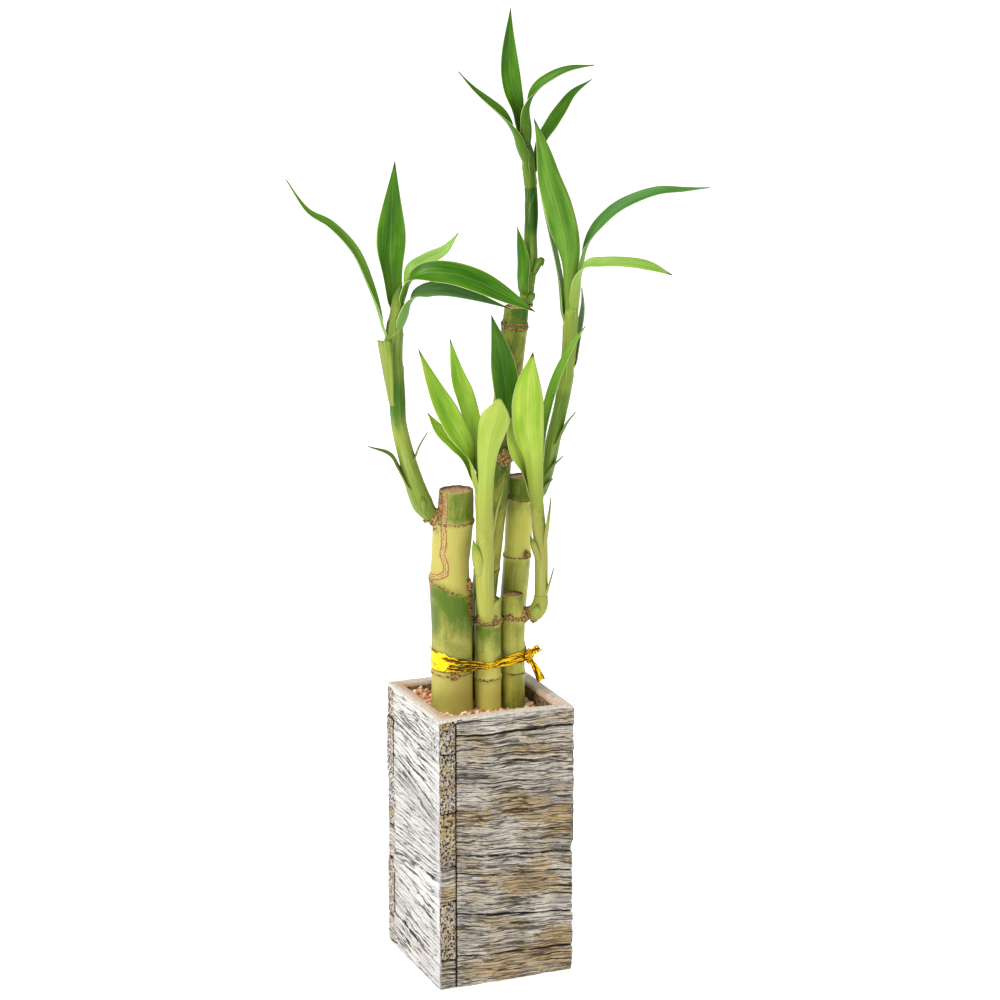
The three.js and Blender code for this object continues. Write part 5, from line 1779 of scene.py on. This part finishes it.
# Large leaves, of which the first place is seated on the shoot
LEAVES: dict[str, list[Blade]] = {
    "left": [
        Blade([(-41, -6.5, 292), (-43.4, -7.2, 303), (-48, -9, 317.4), (-54, -11, 332), (-63.8, -13, 343.8),
               (-74, -14, 351), (-83, -15, 365)],
              width=6.4, tip=(0.8, -0.7, 0.6), fold=130, peak=0.5, foot=1.0),
        Blade([(-37.2, -2, 304), (-38.4, 0.6, 324), (-38.4, 1.8, 336), (-37.8, 1.6, 349.5),
               (-36.2, -0.4, 371)], width=13.4, tip=(0.1, -1, 0), fold=45, peak=0.5, foot=0.5),
        Blade([(-32, -5, 312), (-30, -3.6, 322.6), (-23.6, -2, 326.8), (-15, -1, 331.2), (-8.5, 0, 339)],
              width=6.2, tip=(-0.4, -1, 0.4), fold=50, peak=0.55, foot=0.7),
        Blade([(-32, -7.4, 307), (-30, -8.8, 318), (-23.5, -10.6, 322.8), (-12.5, -12, 323), (0, -13, 319.4),
               (13, -14, 313), (25.3, -14, 306)], width=11, tip=(0.2, -1, 0.5), fold=40, peak=0.62, foot=0.6),
        Blade([(-33, -9.6, 296), (-29.4, -10.4, 310), (-23, -9.4, 314.4), (-14, -8.8, 315), (-1.5, -8.4, 312),
               (14.5, -8.4, 306.4)], width=7.8, tip=(0, -0.8, 0.7), fold=60, peak=0.55, foot=0.9),
    ],
    "front": [
        Blade([(-1.4, -12, 222), (-4.6, -12.8, 242), (-11.8, -13.6, 257), (-18.4, -14.4, 270.5),
               (-26.4, -15, 290.5)], width=11, tip=(0.5, -1, 0.3), fold=40, peak=0.55, foot=0.6),
        Blade([(0.6, -7.4, 230), (-1.8, -6.4, 250), (-5.4, -6, 265), (-9.4, -6, 277), (-12.6, -7, 293.5)],
              width=8.6, tip=(0.3, -1, 0.2), fold=40, peak=0.55, foot=0.6),
        Blade([(-1.8, -9.6, 225), (-6.2, -9.8, 239.5), (-11.4, -10.4, 246.5), (-17.6, -11.2, 253),
               (-22.6, -12, 261)], width=6.6, tip=(0.5, -1, 0.5), fold=50, peak=0.6, foot=0.6),
        Blade([(2.8, -15.4, 203), (3, -15.8, 227), (3.8, -16.6, 243), (5.8, -17.8, 254), (8, -19.2, 262),
               (9.4, -20.6, 270.6)],
              width=13.6, tip=(0.15, 0.8, 0.5), fold=50, peak=0.7, foot=0.55, shoulder=5, taper=1.3),
    ],
    "right": [
        Blade([(25.6, -1.2, 210), (24, -3.4, 235.5), (22.2, -4, 248), (21.6, -4, 260), (22.2, -4, 273.5),
               (24, -3, 286.5)], width=14.6, tip=(0.1, 1, 0), fold=35, peak=0.6, foot=0.45),
        Blade([(22.6, 4, 214), (20.4, 3.2, 231), (16.8, 2, 241), (14.8, 1.8, 249), (14.3, 2, 256.5)],
              width=8.4, tip=(0.5, -1, 0), fold=40, peak=0.5, foot=0.6),
        Blade([(22, 6.6, 228), (16.4, 6.4, 246), (13.2, 5.4, 260), (10.8, 5, 276.5), (8.8, 4.2, 288),
               (5.5, 3.4, 302)], width=12.4, tip=(0.3, -1, 0.2), fold=35, peak=0.55, foot=0.5),
        Blade([(27.2, 4, 226), (29, 5, 245), (31, 5.6, 258.5), (35, 6, 272.5), (40.5, 5, 285.5),
               (47.5, 4, 297)], width=6.4, tip=(-0.8, -0.8, 0.4), fold=80, peak=0.5, foot=0.9),
    ],
    "back": [
        Blade([(38.2, 12, 300), (39, 10.2, 319.5), (38.2, 8, 334), (35, 6.4, 348), (31, 5, 361.5),
               (28, 4, 375.5), (24, 4, 389)], width=13.2, tip=(0.1, 1, 0), fold=40, peak=0.45, foot=0.6),
        Blade([(45.4, 12.8, 309), (46.6, 12, 325.5), (49.4, 11, 334.2), (54.6, 10, 341.8), (63.4, 8, 349.6),
               (77.5, 6, 355.8), (90.5, 5, 357), (101.8, 4, 358)],
              width=8, tip=(0, -0.7, 0.9), fold=70, peak=0.45, foot=0.8),
        Blade([(43, 8.8, 301), (43.8, 7, 315.6), (47.4, 5.6, 323.2), (54.5, 5, 324.6), (65.5, 3, 324.8),
               (75.5, 1, 323.4), (85.5, -1, 320)], width=6, tip=(0, -0.7, 0.8), fold=50, peak=0.75, foot=0.9),
        Blade([(42.2, 18.6, 273), (44.8, 19, 287.5), (46.6, 18.6, 300.5), (45.8, 18, 311)],
              width=7.5, tip=(-1, -0.3, 0), fold=50, peak=0.5, foot=0.8),
        Blade([(37.6, 15.8, 294), (35.4, 17, 316), (31.6, 17.6, 334.5), (27.6, 15, 352)],
              width=8.5, tip=(1, -0.2, 0), fold=50, peak=0.5, foot=0.8),
    ],
    "tall": [
        Blade([(17.4, 19.8, 378), (16.4, 19.6, 390), (14.8, 18.8, 400), (13.6, 18, 409.5), (13.4, 17, 421),
               (14, 15, 435.5)], width=9, tip=(0.1, -1, 0), fold=60, peak=0.5, foot=0.6),
        Blade([(22, 16, 375), (21.8, 15.2, 390), (25.4, 14.8, 399.2), (32, 14, 404.7), (40.2, 13, 408.7),
               (51, 12, 410.5)], width=6.8, tip=(-0.2, -0.7, 0.9), fold=120, peak=0.5, foot=1.15),
        Blade([(25, 20.6, 361), (28.2, 21.6, 375), (32.4, 22, 383), (36.8, 22, 390), (41.8, 21, 397.4),
               (50, 20, 403.5)], width=8, tip=(-0.5, -0.8, 0.6), fold=50, peak=0.45, foot=0.7),
        Blade([(19.4, 15.8, 366), (15.4, 14.4, 380), (10, 14, 388.4), (4.2, 13, 394), (-2, 12, 400),
               (-9, 11, 408)], width=6.6, tip=(0.3, -0.6, 0.9), fold=140, peak=0.35, foot=1.3),
        Blade([(19, 16.4, 307), (19.2, 15.6, 315), (19.6, 15.2, 322.5), (18.5, 14.8, 331.5), (17, 14.4, 339)],
              width=6.4, tip=(0.5, 1, 0), fold=50, peak=0.45, foot=0.9),
    ],
}

# Buds, cut stubs and the swellings that shoots grow from: centre and half sizes
CANE_BUDS: dict[str, list[tuple[Place, Place]]] = {
    "left": [((-4.8, -7.2, 180), (1.9, 2, 3.6)), ((-18.4, -4.4, 210.4), (4.2, 4.6, 4.4))],
    "front": [((3.6, -5.6, 164.4), (4.4, 3, 3))],
    "right": [((14, -1.8, 163.5), (1.6, 1.2, 1.6)), ((20, 3, 163.4), (3, 3.4, 3.8))],
    "back": [((21.6, 14.6, 188.4), (1.6, 1.3, 2)), ((23.4, 20.6, 215.6), (3, 3.4, 3.4))],
    "tall": [((11.8, 8, 235.6), (3.6, 2.2, 4)), ((18.6, 18.2, 301.6), (3.2, 3, 3.2))],
}

CANE_FINISHES: dict[str, CaneFinish] = {
    "left": CaneFinish("cane left", rgb(180, 170, 86), rgb(78, 104, 16)),
    "front": CaneFinish("cane front", rgb(206, 200, 102), rgb(92, 114, 22)),
    "right": CaneFinish("cane right", rgb(192, 188, 88), rgb(92, 106, 22)),
    "back": CaneFinish("cane back", rgb(204, 202, 96), rgb(92, 112, 22)),
    "tall": CaneFinish("cane tall", rgb(186, 176, 72), rgb(54, 88, 8)),
}

# Brown marks on the left cane's skin, as places across and up
LEFT_MARKS = [Patch((-3.4, 170.5), (2.2, 9), 0.9), Patch((-11, 139.4), (2.6, 2.4), 1.0),
              Patch((-18.9, 219), (3.2, 9), 1.1), Patch((-20, 206.5), (3.4, 3), 0.6)]

# How many torn fibres stand round the foot of each shoot
TUFTS: dict[str, int] = {"left": 36, "front": 90, "right": 50, "back": 30, "tall": 30}

# The rings of each cane
NODES: dict[str, list[Node]] = {
    "left": [Node(139.4, 0.7, 0.35, 0.75), Node(179, 0.8, 0.4, 0.75), Node(209.4, 0.9, 0.5, 0.75)],
    "front": [Node(135.4, 0.9, 0.4, 0.7), Node(137.6, 0.4, 0.2, 0.55), Node(162.2, 1.5, 0.8, 0.95, 60)],
    "right": [Node(136.6, 0.7, 0.4, 0.7), Node(162.8, 1.4, 0.6, 0.8, 22)],
    "back": [Node(187, 0.7, 0.3, 0.8), Node(213.9, 0.7, 0.3, 0.8)],
    "tall": [Node(182, 0.8, 0.3, 0.7), Node(242, 0.9, 0.4, 0.7), Node(296.2, 0.6, 0.3, 0.85),
             Node(294, 0.9, 0.5, 0.95)],
}

# How green each cane is, by height
GREENS: dict[str, list[tuple[float, float]]] = {
    "left": [(118, 0.12), (139, 0.1), (141, 0.3), (152, 0.42), (163, 0.8), (176, 1.05), (182, 0.1),
             (196, 0.1), (208, 0.2), (212, 0.75), (224, 0.65)],
    "front": [(118, 0.0), (134, 0.1), (137, 0.15), (148, 0.5), (159, 0.85), (162, 0.5), (172, 0.45)],
    "right": [(118, 0.7), (136, 0.35), (139, 0.3), (158, 0.5), (163, 0.3), (173, 0.6)],
    "back": [(140, 0.55), (184, 0.45), (187, 0.15), (195, 0.05), (205, 0.2), (213, 0.5), (216, 1.0),
             (224, 1.0)],
    "tall": [(118, 0.8), (181, 0.7), (184, 0.4), (215, 0.7), (240, 0.9), (244, 0.6), (270, 0.5), (292, 0.7),
             (295, 0.9), (303, 0.9)],
}

# The scar down the left cane's front, as places across and up
LEFT_SCAR = [
    (-17.6, 226.6), (-15.4, 225.4), (-14.8, 219.4), (-15.3, 212.5), (-15.7, 207.9), (-15.4, 201),
    (-16.4, 195.9), (-14.7, 191.3), (-14.7, 187.1), (-18.3, 185.2), (-21.9, 184.8), (-22.8, 179.2),
]

SHOOT_FINISHES: dict[str, ShootFinish] = {
    "left": ShootFinish("shoot left", rgb(138, 152, 60), rgb(58, 98, 14), rgb(74, 112, 22)),
    "front": ShootFinish("shoot front", rgb(158, 160, 68), rgb(132, 152, 52), rgb(104, 142, 34)),
    "right": ShootFinish("shoot right", rgb(158, 156, 74), rgb(126, 150, 48), rgb(84, 122, 24)),
    "back": ShootFinish("shoot back", rgb(132, 150, 54), rgb(78, 114, 26), rgb(72, 110, 20)),
    "tall": ShootFinish("shoot tall", rgb(100, 130, 26), rgb(40, 80, 0), rgb(58, 92, 12)),
}

LEAF_FINISHES: dict[str, LeafFinish] = {
    "left": LeafFinish("leaf left", rgb(34, 84, 2), rgb(84, 134, 20), rgb(86, 122, 36)),
    "front": LeafFinish("leaf front", rgb(102, 150, 24), rgb(160, 192, 66), rgb(148, 158, 62)),
    "right": LeafFinish("leaf right", rgb(124, 164, 40), rgb(184, 204, 84), rgb(140, 152, 58)),
    "back": LeafFinish("leaf back", rgb(54, 104, 14), rgb(110, 150, 46), rgb(104, 134, 42)),
    "tall": LeafFinish("leaf tall", rgb(34, 80, 0), rgb(82, 134, 12), rgb(78, 110, 22)),
}

# Leaves that differ from the others of their shoot
LEAF_EXCEPTIONS: dict[str, LeafFinish] = {
    "left_1": LeafFinish("leaf left thin", rgb(62, 108, 14), rgb(112, 154, 50), rgb(128, 160, 74)),
    "left_3": LeafFinish("leaf left light", rgb(112, 156, 60), rgb(150, 186, 90), rgb(150, 176, 80)),
    "left_5": LeafFinish("leaf left dull", rgb(72, 116, 52), rgb(108, 148, 84), rgb(104, 142, 64)),
    "front_4": LeafFinish("leaf front pale", rgb(142, 168, 58), rgb(168, 182, 84), rgb(154, 158, 68)),
    "right_3": LeafFinish("leaf right dark", rgb(44, 92, 6), rgb(82, 128, 28), rgb(110, 140, 44)),
    "right_4": LeafFinish("leaf right thin", rgb(92, 142, 34), rgb(136, 178, 66), rgb(150, 176, 76)),
    "back_2": LeafFinish("leaf back dark", rgb(52, 106, 34), rgb(92, 142, 66), rgb(130, 164, 66)),
    "back_3": LeafFinish("leaf back light", rgb(116, 158, 58), rgb(152, 184, 84), rgb(130, 152, 58)),
    "back_4": LeafFinish("leaf back low", rgb(64, 112, 20), rgb(100, 142, 44), rgb(112, 144, 46)),
}

# How dark a green each shoot is, by height
SHOOT_TONES: dict[str, list[tuple[float, float]]] = {
    "left": [(210, 0.5), (225, 0.4), (240, 0.25), (250, 0.05), (255, 0.5), (263, 1.0), (272, 0.9), (278, 0.6),
             (296, 0.5), (306, 0.4), (318, 0.8)],
    "front": [(164, 0.1), (205, 0.1), (230, 0.4), (247, 0.5)],
    "right": [(163, 0.4), (175, 0.3), (200, 0.1), (225, 0.3), (240, 0.5)],
    "back": [(214, 0.7), (240, 0.55), (262, 0.7), (266, 0.3), (300, 0.25), (317, 0.4)],
    "tall": [(303, 0.3), (316, 0.45), (334, 0.5), (339, 0.95), (355, 1.0), (356.5, 0.4), (367, 0.45),
             (374, 0.85), (386, 0.9)],
}

# Loose ends of the ribbon, from the knot
TAILS = [
    Blade([(22.8, 1.2, 145), (25, 0, 147.4), (27.4, -1.2, 149.4)], width=3.2, face=(0, -1, 0.3)),
    Blade([(22.8, 1, 143.4), (25.4, 0, 139.5), (28.2, -1, 133.6)], width=3.4, face=(0, -1, 0)),
]

# Heights of the thin rings where old sheaths fell off the shoots
RING_SCARS: dict[str, list[float]] = {
    "left": [226.5], "front": [], "right": [173.0], "back": [219.0], "tall": [312.0, 356.0],
}


def make_cane(name: str) -> Cane:
    """Gathers what the tables hold on one cane."""
    start, after = SHOOT_RINGS[name][0], SHOOT_RINGS[name][1]
    foot = Vector(start[:3])
    along = (Vector(after[:3]) - foot).normalized()
    collar = Collar(foot + along * 1.2, along, mix(start[3], after[3], 0.3), TUFTS[name])
    buds = [Bud(at, size) for at, size in CANE_BUDS[name]]
    scar, marks = (LEFT_SCAR, LEFT_MARKS) if name == "left" else ([], [])
    rings, finish = CANE_RINGS[name], CANE_FINISHES[name]
    return Cane(name, rings, NODES[name], buds, finish, GREENS[name], scar, marks, collar)


def build_shoot(name: str) -> None:
    """Builds one shoot and the large leaves on it."""
    rings, finish = SHOOT_RINGS[name], SHOOT_FINISHES[name]
    swell = 0.5 if name == "front" else 0.0
    shoot = Shoot(name, rings, SCALES[name], finish, SHOOT_TONES[name], RING_SCARS[name], swell)
    leaves = [blade.seated(shoot) for blade in LEAVES[name]]
    shoot.build(leaves)
    slot = "leaf_light" if name in ("front", "right") else "leaf_dark"
    Leaves(name, slot, leaves, LEAF_FINISHES[name]).build()


def main() -> None:
    """Builds the whole plant in its planter."""
    logging.basicConfig(level=logging.INFO, format="%(message)s")
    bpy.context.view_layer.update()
    Planter().build()
    canes = [make_cane(name) for name in CANE_RINGS]
    for cane in canes:
        cane.build()
    Gravel().build(canes)
    for name in SHOOT_RINGS:
        build_shoot(name)
    RibbonTie().build(canes, TAILS)
    Studio().build()


if __name__ == "__main__":
    main()
